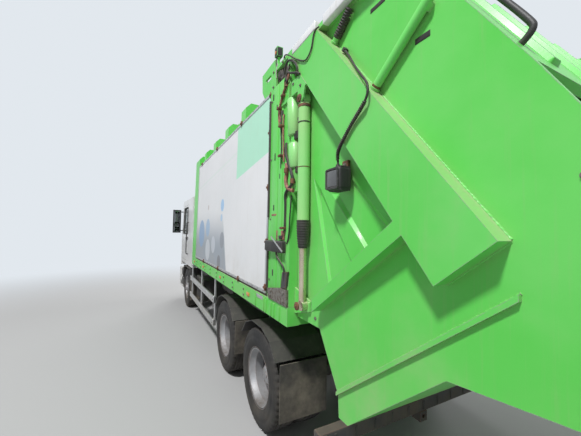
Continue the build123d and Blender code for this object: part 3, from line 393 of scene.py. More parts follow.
# Node trees
def put(tree, kind, inputs=(), **settings):
    """A node with its settings; inputs are (socket, value or other node's socket) pairs."""
    node = tree.nodes.new(kind)
    for key, value in settings.items():
        setattr(node, key, value)
    for socket, value in inputs:
        if isinstance(value, bpy.types.NodeSocket):
            tree.links.new(value, node.inputs[socket])
        else:
            node.inputs[socket].default_value = value
    return node


def calc(tree, operation, a, b=0.0, clamp=False):
    return put(tree, "ShaderNodeMath", [(0, a), (1, b)], operation=operation, use_clamp=clamp).outputs[0]


def plus(tree, a, b, clamp=False):
    return calc(tree, "ADD", a, b, clamp)


def minus(tree, a, b):
    return calc(tree, "SUBTRACT", a, b)


def times(tree, a, b, clamp=False):
    return calc(tree, "MULTIPLY", a, b, clamp)


def mixed(tree, factor, a, b):
    return put(tree, "ShaderNodeMix", [(0, factor), (6, a), (7, b)], data_type="RGBA").outputs[2]


def ramp(tree, value, low, high):
    """0 below low, 1 above high, smooth between them."""
    return put(tree, "ShaderNodeMapRange", [(0, value), (1, low), (2, high)], clamp=True,
               interpolation_type="SMOOTHSTEP").outputs[0]


def object_point(tree):
    return put(tree, "ShaderNodeTexCoord").outputs["Object"]


def noise(tree, point, scale, detail=4.0, rough=0.55, stretch=None):
    if stretch:
        point = put(tree, "ShaderNodeMapping", [("Vector", point), ("Scale", stretch)]).outputs[0]
    return put(tree, "ShaderNodeTexNoise", [("Vector", point), ("Scale", scale), ("Detail", detail),
                                            ("Roughness", rough)]).outputs[0]


def group(name, inputs, outputs):
    """An empty node group: each input is a name with its default, each output a name and a kind."""
    tree = bpy.data.node_groups.new(name, "ShaderNodeTree")
    for label, default in inputs.items():
        socket = tree.interface.new_socket(label, in_out="INPUT", socket_type="NodeSocketFloat")
        socket.default_value = default
    for label, kind in outputs.items():
        tree.interface.new_socket(label, in_out="OUTPUT", socket_type=kind)
    return tree, tree.nodes.new("NodeGroupInput").outputs, tree.nodes.new("NodeGroupOutput")


def edge_wear_group():
    """Mask along convex edges: where a rounded normal departs from the face's own, broken by noise."""
    tree, source, sink = group("edge_wear", {"Radius": 0.006, "Amount": 0.5}, {"Mask": "NodeSocketFloat"})
    round_normal = put(tree, "ShaderNodeBevel", [("Radius", source["Radius"])], samples=4).outputs[0]
    own_normal = put(tree, "ShaderNodeNewGeometry").outputs["Normal"]
    same = put(tree, "ShaderNodeVectorMath", [(0, round_normal), (1, own_normal)],
               operation="DOT_PRODUCT").outputs["Value"]
    worn = times(tree, ramp(tree, same, 0.995, 0.93), noise(tree, object_point(tree), 38.0, 6.0, 0.7))
    limit = minus(tree, 0.95, source["Amount"])
    chips = ramp(tree, worn, times(tree, limit, 0.6), times(tree, limit, 0.75))
    tree.links.new(chips, sink.inputs["Mask"])
    return tree


def grime_group():
    """Dust: heavier low down, in corners and on level faces, with streaks that run down."""
    defaults = {"Amount": 0.5, "Streaks": 0.4, "Low": 0.4, "High": 1.6, "Ledges": 0.5}
    tree, source, sink = group("grime", defaults, {"Mask": "NodeSocketFloat", "Streak": "NodeSocketFloat"})
    point = object_point(tree)
    z = put(tree, "ShaderNodeSeparateXYZ", [(0, point)]).outputs[2]
    low = ramp(tree, z, source["High"], source["Low"])
    normal = put(tree, "ShaderNodeNewGeometry").outputs["Normal"]
    up = put(tree, "ShaderNodeSeparateXYZ", [(0, normal)]).outputs[2]
    ledge = times(tree, ramp(tree, up, 0.35, 0.95), source["Ledges"])
    cloud = noise(tree, point, 2.6, 7.0, 0.62)
    fine = noise(tree, point, 23.0, 6.0, 0.7)
    corner = put(tree, "ShaderNodeAmbientOcclusion", [("Distance", 0.09)], samples=4).outputs["AO"]
    nook = times(tree, ramp(tree, corner, 0.85, 0.35), 0.75)
    streak = noise(tree, point, 1.0, 5.0, 0.6, (26.0, 26.0, 0.9))
    streak = times(tree, ramp(tree, streak, 0.52, 0.74), source["Streaks"])
    total = plus(tree, times(tree, low, ramp(tree, cloud, 0.3, 0.75)), ledge)
    total = plus(tree, total, nook)
    total = plus(tree, total, times(tree, ramp(tree, cloud, 0.5, 0.8), 0.25))
    total = times(tree, total, plus(tree, 0.55, times(tree, fine, 0.9)))
    total = times(tree, total, source["Amount"], clamp=True)
    tree.links.new(total, sink.inputs["Mask"])
    tree.links.new(streak, sink.inputs["Streak"])
    return tree


def relief_group():
    """Skin relief: a fine grain plus a slow waviness, as a normal."""
    tree, source, sink = group("relief", {"Grain": 60.0, "Depth": 0.001, "Wave": 0.0},
                               {"Normal": "NodeSocketVector"})
    point = object_point(tree)
    fine = noise(tree, point, source["Grain"], 5.0, 0.6)
    slow = noise(tree, point, 2.2, 3.0)
    height = plus(tree, times(tree, fine, source["Depth"]), times(tree, slow, source["Wave"]))
    bump = put(tree, "ShaderNodeBump", [("Strength", 1.0), ("Distance", 1.0), ("Height", height)])
    tree.links.new(bump.outputs[0], sink.inputs["Normal"])
    return tree


GROUPS = {"edge_wear": edge_wear_group(), "grime": grime_group(), "relief": relief_group()}


def use(tree, name, **inputs):
    """A group placed in a tree with its own values."""
    values = [(key.capitalize(), value) for key, value in inputs.items()]
    return put(tree, "ShaderNodeGroup", values, node_tree=GROUPS[name]).outputs


def rgb(r, g, b):
    return (r, g, b, 1.0)


DUST = rgb(0.36, 0.31, 0.24)
MUD = rgb(0.13, 0.105, 0.08)
RUST = rgb(0.21, 0.075, 0.03)
PRIMER = rgb(0.30, 0.30, 0.29)
COAT_ROUGHNESS = 0.12
REFRACTION = 1.5
CHIP_RADIUS = 0.006


def finish(name, metallic=0.0, specular=0.5, coat=0.0, transmission=0.0):
    """A material with its tree and shader; plain numbers go on the shader's own sockets."""
    material = bpy.data.materials.new(name)
    material.use_nodes = True
    tree = material.node_tree
    shader = tree.nodes["Principled BSDF"]
    for socket, value in (("Metallic", metallic), ("Specular IOR Level", specular), ("Coat Weight", coat),
                          ("Coat Roughness", COAT_ROUGHNESS), ("Transmission Weight", transmission),
                          ("IOR", REFRACTION)):
        shader.inputs[socket].default_value = value
    return material, tree, shader


def shade(tree, shader, tone, rough, normal=None):
    """Links colour, roughness and, where there is one, the normal."""
    tree.links.new(tone, shader.inputs["Base Color"])
    tree.links.new(rough, shader.inputs["Roughness"])
    if normal:
        tree.links.new(normal, shader.inputs["Normal"])


def dressed(tree, shader, tone, rough, dust=0.5, streaks=0.3, wear=0.3, low=0.4, high=1.6, ledges=0.5,
            dust_color=DUST, chip_color=PRIMER, grain=60.0, depth=0.0006, wave=0.0):
    """Colour, roughness and normal: the base, then chips at the edges, then dust and streaks."""
    grime = use(tree, "grime", amount=dust, streaks=streaks, low=low, high=high, ledges=ledges)
    if wear > 0:
        chips = use(tree, "edge_wear", radius=CHIP_RADIUS, amount=wear)["Mask"]
        tone = mixed(tree, chips, tone, chip_color)
    tone = mixed(tree, grime["Streak"], tone, dust_color)
    tone = mixed(tree, grime["Mask"], tone, dust_color)
    dull = plus(tree, rough, times(tree, grime["Mask"], 0.5), clamp=True)
    shade(tree, shader, tone, dull, use(tree, "relief", grain=grain, depth=depth, wave=wave)["Normal"])


def varied(tree, a, b, scale=1.3):
    """Slow drift between two tones over the surface."""
    return mixed(tree, ramp(tree, noise(tree, object_point(tree), scale), 0.35, 0.7), a, b)


def paint(name, first, second, rough, scale=1.3, metallic=0.0, specular=0.5, coat=0.0, **dress):
    """A coat that drifts between two tones, with its chips, dust and relief."""
    material, tree, shader = finish(name, metallic, specular, coat)
    dressed(tree, shader, varied(tree, rgb(*first), rgb(*second), scale), rough, **dress)
    return material


def green(name, fresh, faded, dust, ledges):
    return paint(name, fresh, faded, 0.36, specular=0.35, coat=0.08, dust=dust, streaks=0.14, low=0.7,
                 high=1.9, ledges=ledges, dust_color=rgb(0.42, 0.40, 0.26), depth=0.0003, wave=0.004)


def bare_steel():
    """Brushed steel with patches of rust."""
    material, tree, shader = finish("steel", metallic=1.0)
    point = object_point(tree)
    brushed = noise(tree, point, 1.0, 4.0, 0.6, (220.0, 220.0, 14.0))
    tone = mixed(tree, ramp(tree, brushed, 0.3, 0.7), rgb(0.42, 0.41, 0.38), rgb(0.58, 0.56, 0.52))
    tone = mixed(tree, ramp(tree, noise(tree, point, 9.0, 7.0, 0.65), 0.56, 0.72), tone, RUST)
    shade(tree, shader, tone, plus(tree, 0.28, times(tree, brushed, 0.3)),
          use(tree, "relief", grain=90.0, depth=0.0004)["Normal"])
    return material


def rod_chrome():
    """Chromed rod with a film of dusty grease."""
    material, tree, shader = finish("rod_chrome", metallic=0.85)
    film = ramp(tree, noise(tree, object_point(tree), 14.0, 6.0, 0.6, (1.0, 1.0, 0.35)), 0.35, 0.75)
    tone = mixed(tree, film, rgb(0.72, 0.66, 0.52), rgb(0.52, 0.42, 0.28))
    shade(tree, shader, tone, plus(tree, 0.14, times(tree, film, 0.4)))
    return material


def worn_steel(name, clean, worn, metallic, rough=0.55):
    """Small steel parts: clean tone broken by a worn one."""
    material, tree, shader = finish(name, metallic)
    mask = ramp(tree, noise(tree, object_point(tree), 31.0, 8.0, 0.68), 0.40, 0.66)
    shade(tree, shader, mixed(tree, mask, rgb(*clean), rgb(*worn)),
          plus(tree, rough, times(tree, mask, 0.25), clamp=True),
          use(tree, "relief", grain=150.0, depth=0.0005 * rough)["Normal"])
    return material


def glass():
    """Tinted glass with a light haze."""
    material, tree, shader = finish("glass", transmission=0.9)
    haze = ramp(tree, noise(tree, object_point(tree), 3.0, 6.0), 0.45, 0.8)
    tone = mixed(tree, haze, rgb(0.45, 0.53, 0.53), rgb(0.60, 0.60, 0.56))
    shade(tree, shader, tone, plus(tree, 0.03, times(tree, haze, 0.12)))
    return material


def lens(name, clear, ribs=90.0):
    """Ribbed coloured lamp lens."""
    material, tree, shader = finish(name, coat=0.6)
    point = object_point(tree)
    bands = put(tree, "ShaderNodeTexWave", [("Vector", point), ("Scale", ribs), ("Distortion", 0.0)],
                bands_direction="Z").outputs[1]
    tone = mixed(tree, ramp(tree, bands, 0.2, 0.9), rgb(*clear), rgb(*(c * 0.6 for c in clear)))
    bump = put(tree, "ShaderNodeBump", [("Strength", 0.5), ("Distance", 0.001), ("Height", bands)])
    shade(tree, shader, tone, plus(tree, 0.12, times(tree, noise(tree, point, 20.0), 0.1)), bump.outputs[0])
    return material


def boxed(tree, value, low, high, soft=0.002):
    """1 where a value lies between low and high, with a soft rim."""
    above = ramp(tree, value, low - soft, low + soft)
    return times(tree, above, ramp(tree, value, high + soft, high - soft))


def disc(tree, x, z, place, radius, soft=0.004):
    """1 inside a circle on the panel."""
    dx = minus(tree, x, place[0])
    dz = minus(tree, z, place[1])
    reach = calc(tree, "SQRT", plus(tree, times(tree, dx, dx), times(tree, dz, dz)))
    return ramp(tree, reach, radius + soft, radius - soft)


# The panel's slanted bands as low, high and strength; its discs as place, radius, colour and strength
PANEL_BANDS = ((3.27, 3.31, 0.40), (3.20, 3.22, 0.25))
PANEL_DISCS = (((4.05, 2.02), 0.28, (0.24, 0.38, 0.58), 0.8), ((3.45, 2.14), 0.17, (0.28, 0.44, 0.64), 0.7),
               ((2.39, 2.50), 0.10, (0.30, 0.52, 0.78), 0.85), ((2.42, 2.30), 0.06, (0.34, 0.54, 0.76), 0.7),
               ((3.46, 2.53), 0.05, (0.45, 0.36, 0.36), 0.6), ((2.34, 1.94), 0.13, (0.24, 0.26, 0.30), 0.7),
               ((3.40, 1.72), 0.20, (0.62, 0.66, 0.70), 0.7), ((2.50, 1.58), 0.11, (0.18, 0.18, 0.19), 0.7),
               ((2.95, 1.84), 0.15, (0.58, 0.62, 0.68), 0.7))


def panel_sheet():
    """White side sheet with a mint block, faint slanted bands and a plain pattern of pale discs."""
    material, tree, shader = finish("panel_sheet", specular=0.3)
    parts = put(tree, "ShaderNodeSeparateXYZ", [(0, object_point(tree))]).outputs
    station = minus(tree, parts[0], SEAM)
    height = parts[2]
    tone = varied(tree, rgb(0.76, 0.77, 0.79), rgb(0.72, 0.74, 0.76), 0.8)
    slant = plus(tree, height, times(tree, station, 0.06))
    for low, high, strength in PANEL_BANDS:
        share = times(tree, boxed(tree, slant, low, high, 0.01), strength)
        tone = mixed(tree, share, tone, rgb(0.62, 0.74, 0.68))
    foot = minus(tree, height, times(tree, minus(tree, 1.66, station), 0.11))
    mint = times(tree, boxed(tree, station, -1.0, 1.665), ramp(tree, foot, 2.805, 2.811))
    tone = mixed(tree, mint, tone, rgb(0.44, 0.78, 0.60))
    edge = minus(tree, station, times(tree, minus(tree, height, 1.48), 0.35))
    field = times(tree, ramp(tree, edge, 2.00, 2.06), ramp(tree, height, 2.50, 1.75))
    tone = mixed(tree, field, tone, rgb(0.33, 0.37, 0.42))
    for place, radius, color, strength in PANEL_DISCS:
        share = times(tree, disc(tree, station, height, place, radius), strength)
        tone = mixed(tree, share, tone, rgb(*color))
    dressed(tree, shader, tone, 0.5, dust=0.26, streaks=0.10, wear=0.25, low=1.5, high=2.0, ledges=0.2,
            dust_color=rgb(0.45, 0.40, 0.33), depth=0.0002, wave=0.006)
    return material


# Materials by the slot that shows them
MATERIALS = {
    "green_paint": green("green_paint", (0.105, 0.60, 0.085), (0.15, 0.64, 0.125), 0.36, 0.85),
    "white_paint": paint("white_paint", (0.78, 0.79, 0.80), (0.70, 0.71, 0.70), 0.30, coat=0.3, dust=0.38,
                         streaks=0.25, wear=0.2, low=0.8, high=1.7, ledges=0.3, depth=0.0002, wave=0.002),
    "dark_paint": paint("dark_paint", (0.035, 0.036, 0.04), (0.06, 0.058, 0.056), 0.5, dust=0.75, wear=0.35,
                        low=0.3, high=1.4, ledges=0.7, chip_color=RUST, dust_color=MUD, depth=0.0008),
    "grey_paint": paint("grey_paint", (0.26, 0.265, 0.27), (0.33, 0.32, 0.31), 0.45, dust=0.6, streaks=0.4,
                        wear=0.5, low=0.5, high=2.5, chip_color=RUST),
    "tyre": paint("tyre", (0.018, 0.018, 0.019), (0.035, 0.034, 0.033), 0.72, 5.0, specular=0.35, dust=0.55,
                  streaks=0.0, wear=0.0, low=0.15, high=1.05, ledges=0.2, dust_color=rgb(0.12, 0.105, 0.085),
                  grain=180.0),
    "rim_paint": paint("rim_paint", (0.40, 0.41, 0.43), (0.33, 0.33, 0.34), 0.42, 6.0, metallic=0.35,
                       dust=0.7, streaks=0.0, wear=0.35, low=0.1, high=1.0, ledges=0.3, chip_color=RUST,
                       dust_color=MUD),
    "steel": bare_steel(),
    "aluminium": paint("aluminium", (0.62, 0.63, 0.64), (0.52, 0.53, 0.54), 0.36, 4.0, metallic=0.9, dust=0.55,
                       streaks=0.4, wear=0.0, low=0.2, high=1.2, grain=140.0, depth=0.0003),
    "black_plastic": paint("black_plastic", (0.022, 0.022, 0.024), (0.04, 0.04, 0.04), 0.5, 3.0, specular=0.4,
                           dust=0.45, streaks=0.25, wear=0.2, low=0.3, high=1.5, grain=260.0, depth=0.0008,
                           chip_color=rgb(0.12, 0.12, 0.12), dust_color=rgb(0.16, 0.145, 0.12)),
    "glass": glass(),
    "engine": paint("engine", (0.10, 0.10, 0.105), (0.16, 0.155, 0.15), 0.55, 5.0, metallic=0.3, dust=0.6,
                    wear=0.2, chip_color=RUST, dust_color=MUD, grain=120.0, depth=0.002),
    "rubber": paint("rubber", (0.02, 0.02, 0.02), (0.045, 0.043, 0.04), 0.62, 8.0, specular=0.35, dust=0.4,
                    streaks=0.0, wear=0.0, grain=200.0, depth=0.0005),
}
CYLINDER_GREEN = green("cylinder_green_paint", (0.26, 0.68, 0.22), (0.34, 0.66, 0.24), 0.5, 0.6)
ROD_CHROME = rod_chrome()

# What a piece can look like: a material and the slot it fills
LOOKS = {slot: (material, slot) for slot, material in MATERIALS.items()}
LOOKS.update({
    "nut_steel": (worn_steel("nut_steel", (0.23, 0.22, 0.20), (0.13, 0.10, 0.075), 0.6), "steel"),
    "rusted": (worn_steel("rusted_steel", (0.20, 0.085, 0.045), (0.075, 0.045, 0.032), 0.15), "steel"),
    "pink_rust": (worn_steel("pink_primer", (0.40, 0.17, 0.13), (0.17, 0.085, 0.06), 0.05), "steel"),
    # The mirror glass has a dark tone so that it reflects little: painted shade in the glass.
    "mirror_glass": (worn_steel("mirror_glass", (0.20, 0.21, 0.22), (0.15, 0.16, 0.16), 1.0, 0.06), "glass"),
    "smoked_lens": (lens("smoked_lens", (0.10, 0.105, 0.11), 60.0), "glass"),
    "red_lens": (lens("red_lens", (0.45, 0.02, 0.02)), "glass"),
    "amber_lens": (lens("amber_lens", (0.75, 0.27, 0.03)), "glass"),
    "clear_lens": (lens("clear_lens", (0.72, 0.74, 0.76)), "glass"),
    "cylinder_green": (CYLINDER_GREEN, "green_paint"),
})
# Solids that stay but look different from their slot
SPECIAL = {
    "side_panels": panel_sheet(),
    "tail_frames": green("guide_green_paint", (0.12, 0.61, 0.10), (0.16, 0.65, 0.14), 0.62, 1.5),
    "lift_barrel_left": CYLINDER_GREEN, "lift_barrel_right": CYLINDER_GREEN,
    "lift_rod_left": ROD_CHROME, "lift_rod_right": ROD_CHROME,
}

# Widths of the rounding on the solids that stay
SOFT_EDGES = {
    "body_walls": 0.006, "body_ribs": 0.012, "body_floor": 0.008, "body_rear_ring": 0.008,
    "side_panels": 0.004, "tailgate_shell": 0.006, "tail_frames": 0.012, "cab_shell": 0.012,
    "door_left": 0.008, "door_right": 0.008, "front_bumper": 0.02, "steps": 0.02, "mirrors": 0.02,
    "fuel_tank": 0.05, "battery_box": 0.015, "hydraulic_tank": 0.03, "air_intake": 0.03,
    "side_guards": 0.006, "underrun_bar": 0.01, "engine_block": 0.02, "ejector_plate": 0.006,
    "packer_carriage": 0.006, "packer_blade": 0.006, "bin_lift": 0.006,
}


def soften(node, width):
    """Merges the node's loose triangles, flattens them to faces and rounds the sharp edges."""
    weld = node.modifiers.new("weld", "WELD")
    weld.merge_threshold = 0.00002
    flat = node.modifiers.new("flat", "DECIMATE")
    flat.decimate_type = "DISSOLVE"
    flat.angle_limit = math.radians(0.6)
    edge = node.modifiers.new("edge", "BEVEL")
    edge.width = width
    edge.segments = 2
    edge.limit_method = "ANGLE"
    edge.angle_limit = math.radians(35)


def dress_nodes():
    """Gives each solid that stays its finish, and softened edges to those that SOFT_EDGES lists."""
    slots = {row["node"]: row["material_slot"] for row in frame["record"]["subparts"]}
    for name, node in frame["nodes"].items():
        node.data.materials.clear()
        node.data.materials.append(SPECIAL.get(name) or MATERIALS[slots[name]])
        if name in SOFT_EDGES:
            soften(node, SOFT_EDGES[name])


dress_nodes()


# Wheels
WHEEL_STATIONS = {"front": 6200, "middle": 2165, "rear": 765}
FRONT_Y, TWIN_OUTER_Y, TWIN_INNER_Y = 1077.5, 1087.5, 767.5
TREAD_STEPS = 144
NUT_CIRCLE = 0.155
# Tyre section from bead to tread, as places to the side, radii and depths of the grooves
TYRE_SIDE = [(0.100, 0.284, 0), (0.113, 0.286, 0), (0.119, 0.300, 0), (0.120, 0.316, 0), (0.126, 0.324, 0),
             (0.134, 0.350, 0), (0.1373, 0.380, 0), (0.1375, 0.404, 0), (0.1355, 0.407, 0), (0.1345, 0.436, 0),
             (0.1355, 0.440, 0), (0.1295, 0.468, 0.0), (0.1262, 0.480, 0.012), (0.1215, 0.493, 0.013),
             (0.1120, 0.5035, 0.013), (0.0800, 0.5075, 0.013), (0.0780, 0.496, 0), (0.0700, 0.496, 0),
             (0.0680, 0.5085, 0.004), (0.0300, 0.5095, 0.004), (0.0280, 0.496, 0), (0.0200, 0.496, 0),
             (0.0180, 0.5100, 0.003)]
BARREL = [(0.118, 0.300), (0.121, 0.306), (0.114, 0.309), (0.110, 0.300), (0.107, 0.286), (0.070, 0.281),
          (0.045, 0.262), (-0.045, 0.262), (-0.070, 0.281), (-0.107, 0.286), (-0.110, 0.300), (-0.114, 0.309),
          (-0.121, 0.306), (-0.118, 0.300), (-0.113, 0.283), (-0.072, 0.272), (-0.047, 0.253), (0.047, 0.253),
          (0.072, 0.272), (0.113, 0.283)]
# Wheel discs as inner and outer radius, radius of a hand hole and of the circle the holes lie on
DISC_RADII = (0.178, 0.256, 0.027, 0.218)


def wheel_centre(axle, y):
    return spot(WHEEL_STATIONS[axle], y, TYRE_RADIUS * 1000)


def tyre_shape(centre):
    """Tyre: its section turned about the axle, radius less groove depth at every third step.

    The steps of the left half of the tread are one step behind those of the right half."""
    side = np.array(TYRE_SIDE)
    section = np.vstack([side, side[::-1] * (-1, 1, 1), [(-0.09, 0.292, 0), (0.09, 0.292, 0)]])
    step = np.arange(TREAD_STEPS)[None]
    shift = (section[:, :1] > 0).astype(int)
    low = (step + shift) % 3 == 0
    radius = section[:, 1:2] - section[:, 2:3] * low
    angle = step * 2 * math.pi / TREAD_STEPS
    points = np.stack([radius * np.cos(angle), section[:, :1] + 0 * angle, radius * np.sin(angle)], -1)
    return surface(points + centre, wrap_u=True, wrap_v=True)


def hand_hole_disc(centre, side, offset, cone=0.0, count=10, thick=0.012):
    """Wheel disc with round hand holes.

    Each sector is a closed tube in two parameters: t runs round the hole, and the rows run from the
    sector's border over the front face to the hole, through it and back behind. The border point in
    direction t is the one on the sector's square, so the corners are met exactly."""
    r_in, r_out, r_hole, r_mid = DISC_RADII
    t = np.linspace(0, FULL_TURN, 32, endpoint=False)
    square = np.column_stack([np.cos(t), np.sin(t)])
    square /= np.abs(square).max(1)[:, None]
    half_turn = math.pi / count
    middle = (r_in + r_out) / 2
    border = np.column_stack([middle + (r_out - r_in) / 2 * square[:, 0], half_turn * square[:, 1]])

    def ring(radius):
        return np.column_stack([r_mid + radius * np.cos(t), radius * np.sin(t) / r_mid])

    rows = [(border, 0), (ring(r_hole + 0.006), 0), (ring(r_hole + 0.002), 0.004), (ring(r_hole), -0.001),
            (ring(r_hole), -thick), (border, -thick)]
    grid = []
    for polar, lift in rows:
        r, turn = polar[:, 0], polar[:, 1]
        out = offset + lift + cone * (r_out - r)
        grid.append(np.column_stack([r * np.cos(turn), side * out, r * np.sin(turn)]))
    shape = surface(np.stack(grid) + centre, wrap_u=True, wrap_v=True)
    return spun(shape, centre, count, half_turn)


def nut_ring(centre, side, out, radius=NUT_CIRCLE, count=10, size=0.030, height=0.026):
    nut = hexagon(centre + np.array([radius, side * out, 0]), (0, side, 0), size, height)
    return spun(nut, centre, count, math.pi / count)


def rim_shapes(centre, side, at, reach, cap, cone):
    """Barrel, disc with holes, hub and cap; at is the disc's place, reach how far the hub stands out."""
    step = at + cone * 0.078
    plate = [(step, 0.1782), (step + 0.002, 0.165), (step + 0.002, 0.135), (step - 0.012, 0.130),
             (step - 0.012, 0.1782)]
    end = step + reach
    hub = [(step - 0.06, 0.128), (step + 0.006, 0.136), (step + 0.012, 0.130), (step + 0.030, 0.116),
           (step + reach * 0.55, cap + 0.012), (end - 0.022, cap + 0.008), (end - 0.020, cap),
           (end - 0.006, cap - 0.004), (end, cap - 0.014), (end, 0.030), (end + 0.006, 0.026)]
    return [lathe(BARREL, centre, side=side, steps=72), hand_hole_disc(centre, side, at, cone),
            lathe(plate, centre, side=side, steps=72), lathe(hub, centre, side=side, steps=48, closed=False),
            nut_ring(centre, side, end - 0.006, cap - 0.012, 8, 0.014, 0.008)]


def wheel(axle, name, body, tyres, rim, nuts):
    """Tyres, rims and nuts of one wheel body, in place of its plain solids."""
    plural = "" if len(tyres) == 1 else "s"
    tread = add(f"{axle}_tyre_tread{plural}_{name}", tyres, "tyre", body, 50)
    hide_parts(f"{axle}_tyre{plural}_{name}")
    discs = add(f"{axle}_rim_disc{plural}_{name}", rim, "rim_paint", body, 32)
    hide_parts(f"{axle}_rim{plural}_{name}")
    add(f"{axle}_wheel_nuts_{name}", [nuts], "nut_steel", body, 30)


def wheels():
    for name, side in SIDES:
        centre = wheel_centre("front", side * FRONT_Y)
        wheel("front", name, f"front_wheel_{name}", [tyre_shape(centre)],
              rim_shapes(centre, side, 0.058, 0.075, 0.078, 0.25), nut_ring(centre, side, 0.079))
        for axle in ("middle", "rear"):
            outer = wheel_centre(axle, side * TWIN_OUTER_Y)
            inner = wheel_centre(axle, side * TWIN_INNER_Y)
            rim = rim_shapes(outer, side, -0.118, 0.150, 0.098, -0.10)
            rim += [lathe(BARREL, inner, side=side, steps=72), hand_hole_disc(inner, side, 0.118)]
            wheel(axle, name, f"{axle}_wheels_{name}", [tyre_shape(outer), tyre_shape(inner)], rim,
                  nut_ring(outer, side, -0.123))


wheels()


# Cab
SCREEN_FOOT, SCREEN_SLOPE = 1960, 0.2111
SCREEN_TILT = math.atan(SCREEN_SLOPE)
SCREEN_NORMAL = np.array([math.cos(SCREEN_TILT), 0, math.sin(SCREEN_TILT)])
CAB_FRONT = 7600
CAB_SIDE = 1200
BUMPER_FRONT = 7650
RUBBER_BEAD = [(-0.024, 0.000), (-0.023, 0.006), (-0.014, 0.010), (0.000, 0.010), (0.012, 0.006),
               (0.014, -0.010), (-0.010, -0.004)]
PRESSING = [(0, 0), (0.004, 0.004), (0.014, 0.004), (0.018, 0)]
DOOR_GAP = [(-0.0055, -0.003), (-0.0005, -0.003), (-0.0005, -0.02), (-0.0055, -0.02)]
MIRROR_FACE = [(0, 0), (0, 0.002), (0.006, 0.003), (0.09, 0.003), (0.09, 0)]
GRILLE_FRAME = [(-0.02, 0), (-0.016, 0.016), (0.004, 0.020), (0.02, 0.012), (0.02, 0)]
LAMP_FRAME = [(-0.012, 0), (-0.010, 0.007), (0.008, 0.008), (0.014, 0.001), (0.014, 0)]
HEADLAMP_RING = [(-0.004, 0.060), (0.008, 0.060), (0.010, 0.066), (0.008, 0.074), (-0.004, 0.076)]
HEADLAMP_LENS = [(-0.004, 0.061), (0.006, 0.060), (0.012, 0.045), (0.015, 0.025), (0.016, 0.004)]
# Grips as station, distance from the door's skin and height
HANDLE_LINE = ((6380, 0, 1850), (6385, 30, 1852), (6400, 40, 1853), (6520, 40, 1853), (6535, 30, 1852),
               (6540, 0, 1850))
GRAB_LINE = ((6225, 0, 1420), (6225, 42, 1424), (6225, 55, 1450), (6225, 55, 2270), (6225, 42, 2296),
             (6225, 0, 2300))


def on_screen(y, z, lift=0.0):
    """Point of the cab's raked front at a height."""
    return spot(CAB_FRONT - (z - SCREEN_FOOT) * SCREEN_SLOPE, y, z) + SCREEN_NORMAL * lift


def windscreen_trim():
    outline = [on_screen(*corner) for corner in rectangle(-1092, 1988, 1092, 2822)]
    add("windscreen_rubber", [moulding(softened(outline, 0.06), SCREEN_NORMAL, RUBBER_BEAD)], "rubber", "cab")
    arms, blades = [], []
    for foot, tip in ((-180, 620), (-960, -160), (560, 1040)):
        knee = (foot + tip) / 2
        arms.append(carried([on_screen(foot, 1962, 0.02), on_screen(foot, 1975, 0.038),
                             on_screen(knee, 2040, 0.040), on_screen(knee + 40, 2046, 0.034)], 0.009, 8))
        arms.append(turned([(0, 0.030), (0.012, 0.028), (0.030, 0.020), (0.034, 0.008)], on_screen(foot, 1962),
                           "x", 20))
        blades.append(carried([on_screen(foot + 70, 2012, 0.026), on_screen(tip, 2074, 0.026)], 0.012, 4))
    add("wiper_arms", arms, "black_plastic", "cab")
    add("wiper_blades", blades, "rubber", "cab")


def door_trim():
    window = ((6370, 1980), (7296, 1980), (7136, 2720), (6370, 2720))
    door = ((6300, 1220), (7366, 1220), (7366, 1960), (7191, 2790), (6300, 2790))
    for name, side in SIDES:
        body = f"door_{name}"
        skin = side * CAB_SIDE

        def trim(y, corners, soft, profile, normal=(0, side, 0)):
            return [moulding(softened(beside(y, *corners), soft), normal, profile)]

        def grip(line, radius, sides):
            return carried([spot(x, side * (CAB_SIDE + out), z) for x, out, z in line], radius, sides)

        add(f"door_window_rubber_{name}", trim(skin, window, 0.05, RUBBER_BEAD), "rubber", body)
        add(f"door_handle_{name}", [block(6360, skin - 3, 1800, 6560, skin + 3, 1890, 0.002),
                                    grip(HANDLE_LINE, 0.011, 10)], "black_plastic", body)
        add(f"door_pressing_{name}", trim(skin, rectangle(6380, 1330, 7290, 1720), 0.05, PRESSING),
            "white_paint", body, 60)
        add(f"door_gap_{name}", trim(side * (CAB_SIDE + 0.5), door, 0.02, DOOR_GAP), "rubber", "cab")
        add(f"grab_rail_{name}", [grip(GRAB_LINE, 0.014, 12)], "black_plastic", "cab")
        faces = [facing(7388, *[(side * y, z) for y, z in rectangle(1290, low, 1480, high)])
                 for low, high in ((2020, 2210), (2240, 2670))]
        add(f"mirror_glass_{name}", [moulding(softened(face, 0.03), BACKWARD, MIRROR_FACE) for face in faces],
            "mirror_glass", "cab")


